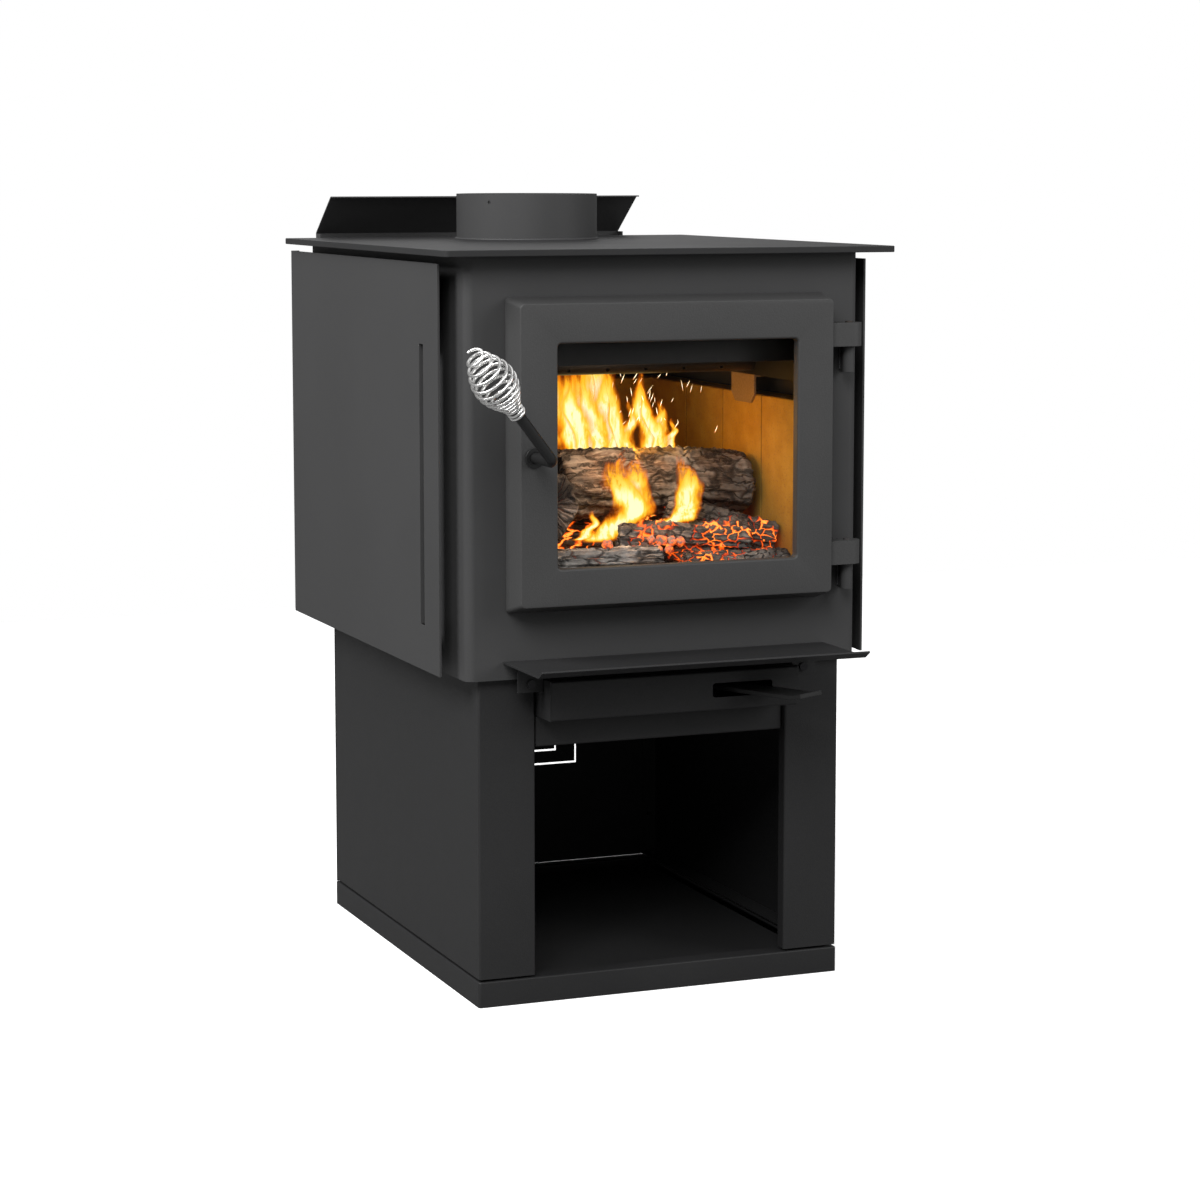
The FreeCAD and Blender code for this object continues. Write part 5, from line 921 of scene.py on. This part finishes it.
TONGUES = (
    ("flame_rear_a",
     ((0.004, -0.020, 0.520), (-0.006, -0.020, 0.560), (-0.014, -0.018, 0.600), (-0.008, -0.016, 0.654)),
     (0.030, 0.050, 0.044, 0.016), 1.0),
    ("flame_rear_b",
     ((0.018, -0.010, 0.515), (0.016, -0.010, 0.560), (0.004, -0.008, 0.600), (0.014, -0.006, 0.657)),
     (0.036, 0.060, 0.048, 0.018), 2.1),
    ("flame_rear_c",
     ((0.034, -0.018, 0.520), (0.040, -0.018, 0.560), (0.030, -0.016, 0.602), (0.044, -0.014, 0.650)),
     (0.030, 0.046, 0.034, 0.012), 3.3),
    ("flame_rear_d",
     ((0.010, 0.012, 0.515), (0.020, 0.012, 0.570), (0.026, 0.014, 0.620), (0.022, 0.016, 0.657)),
     (0.040, 0.060, 0.040, 0.016), 4.2),
    ("flame_rear_e",
     ((-0.024, 0.008, 0.515), (-0.030, 0.008, 0.560), (-0.020, 0.010, 0.605), (-0.028, 0.010, 0.650)),
     (0.034, 0.050, 0.036, 0.012), 5.5),
    ("flame_mid_a",
     ((0.076, -0.020, 0.525), (0.084, -0.020, 0.556), (0.072, -0.018, 0.594), (0.076, -0.016, 0.632)),
     (0.024, 0.042, 0.026, 0.006), 1.7),
    ("flame_mid_b",
     ((0.090, -0.012, 0.528), (0.092, -0.012, 0.550), (0.098, -0.010, 0.574), (0.090, -0.010, 0.602)),
     (0.026, 0.034, 0.020, 0.005), 2.6),
    ("flame_mid_c",
     ((0.106, -0.018, 0.530), (0.104, -0.018, 0.546), (0.110, -0.016, 0.560), (0.108, -0.016, 0.576)),
     (0.014, 0.018, 0.012, 0.003), 3.9),
    ("flame_mid_d",
     ((0.062, -0.004, 0.520), (0.058, -0.004, 0.550), (0.066, -0.002, 0.576), (0.058, -0.002, 0.600)),
     (0.030, 0.032, 0.018, 0.004), 4.8),
    ("flame_front_a",
     ((-0.036, -0.152, 0.458), (-0.014, -0.152, 0.474), (0.004, -0.152, 0.496),
      (-0.010, -0.151, 0.524), (0.004, -0.150, 0.556)),
     (0.050, 0.058, 0.048, 0.044, 0.008), 0.9),
    ("flame_front_b",
     ((-0.018, -0.146, 0.462), (0.004, -0.146, 0.482), (0.014, -0.146, 0.504),
      (0.010, -0.145, 0.528), (0.026, -0.144, 0.550)),
     (0.036, 0.048, 0.046, 0.036, 0.006), 2.9),
    ("flame_front_c",
     ((0.040, -0.152, 0.472), (0.060, -0.152, 0.482), (0.070, -0.152, 0.500),
      (0.068, -0.151, 0.524), (0.058, -0.150, 0.550)),
     (0.036, 0.040, 0.036, 0.030, 0.005), 3.6),
    ("flame_front_d",
     ((-0.060, -0.158, 0.462), (-0.048, -0.158, 0.470), (-0.040, -0.157, 0.482), (-0.044, -0.156, 0.496)),
     (0.014, 0.018, 0.014, 0.003), 5.1),
)
for name, spine, widths, seed in TONGUES:
    tongue(name, spine, widths, seed)
for name, spine, widths, seed in TONGUES[:8]:
    tongue(f"{name}_cross", spine, tuple(width * 0.6 for width in widths), seed + 1.3, math.radians(70.0))

spark_light = bpy.data.materials.new("spark")
tree = tree_of(spark_light)
parted = node(tree, "ShaderNodeSeparateXYZ")
wire(tree, (node(tree, "ShaderNodeUVMap", uv_map="surface").outputs[0], parted.inputs[0]))
shader = node(tree, "ShaderNodeBsdfPrincipled", Roughness=1.0)
shader.inputs["Emission Strength"].default_value = 3.0
wire(tree, (ramp(tree, parted.outputs[1],
                 [(0.0, (1.0, 0.35, 0.05)), (0.5, (1.0, 0.92, 0.65)), (1.0, (1.0, 0.6, 0.2))]),
            shader.inputs["Emission Color"]),
     (ramp(tree, parted.outputs[1], [(0.0, (0.1, 0.02, 0.0)), (1.0, (0.2, 0.08, 0.02))]),
      shader.inputs["Base Color"]),
     shown(tree, shader))
dice = np.random.default_rng(5)
SPARKS = 90
foot = np.stack([dice.normal(0.082, 0.030, SPARKS), dice.uniform(-0.05, 0.05, SPARKS),
                 dice.uniform(0.555, 0.652, SPARKS)], axis=1)
fly = np.stack([dice.normal(0.35, 0.45, SPARKS), dice.normal(0.0, 0.2, SPARKS), np.ones(SPARKS)], axis=1)
fly /= np.linalg.norm(fly, axis=1, keepdims=True)
long = dice.uniform(0.003, 0.013, SPARKS)
thin = dice.uniform(0.00016, 0.00034, SPARKS)
for i in range(SPARKS):
    share = np.linspace(0.0, 1.0, 6)
    bend = np.array([0.0, 0.0006, 0.0]) * (share ** 2)[:, None]
    streak = foot[i] + fly[i] * (long[i] * share)[:, None] + bend
    taper = thin[i] * np.sin(np.pi * (0.08 + 0.84 * share))
    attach(tube(f"spark_{i}", streak, taper, 5, spark_light), "stove")


# Two small warm lights stand in for what the flames throw on the bricks at the right and on the front of
# the logs.
soft_light("glow_on_bricks", (0.035, -0.080, 0.560), (0.180, -0.100, 0.540), 0.05, 0.13, (1.0, 0.40, 0.0))
soft_light("glow_on_logs", (-0.01, -0.190, 0.585), (0.03, -0.100, 0.47), 0.08, 0.30, (1.0, 0.62, 0.34))
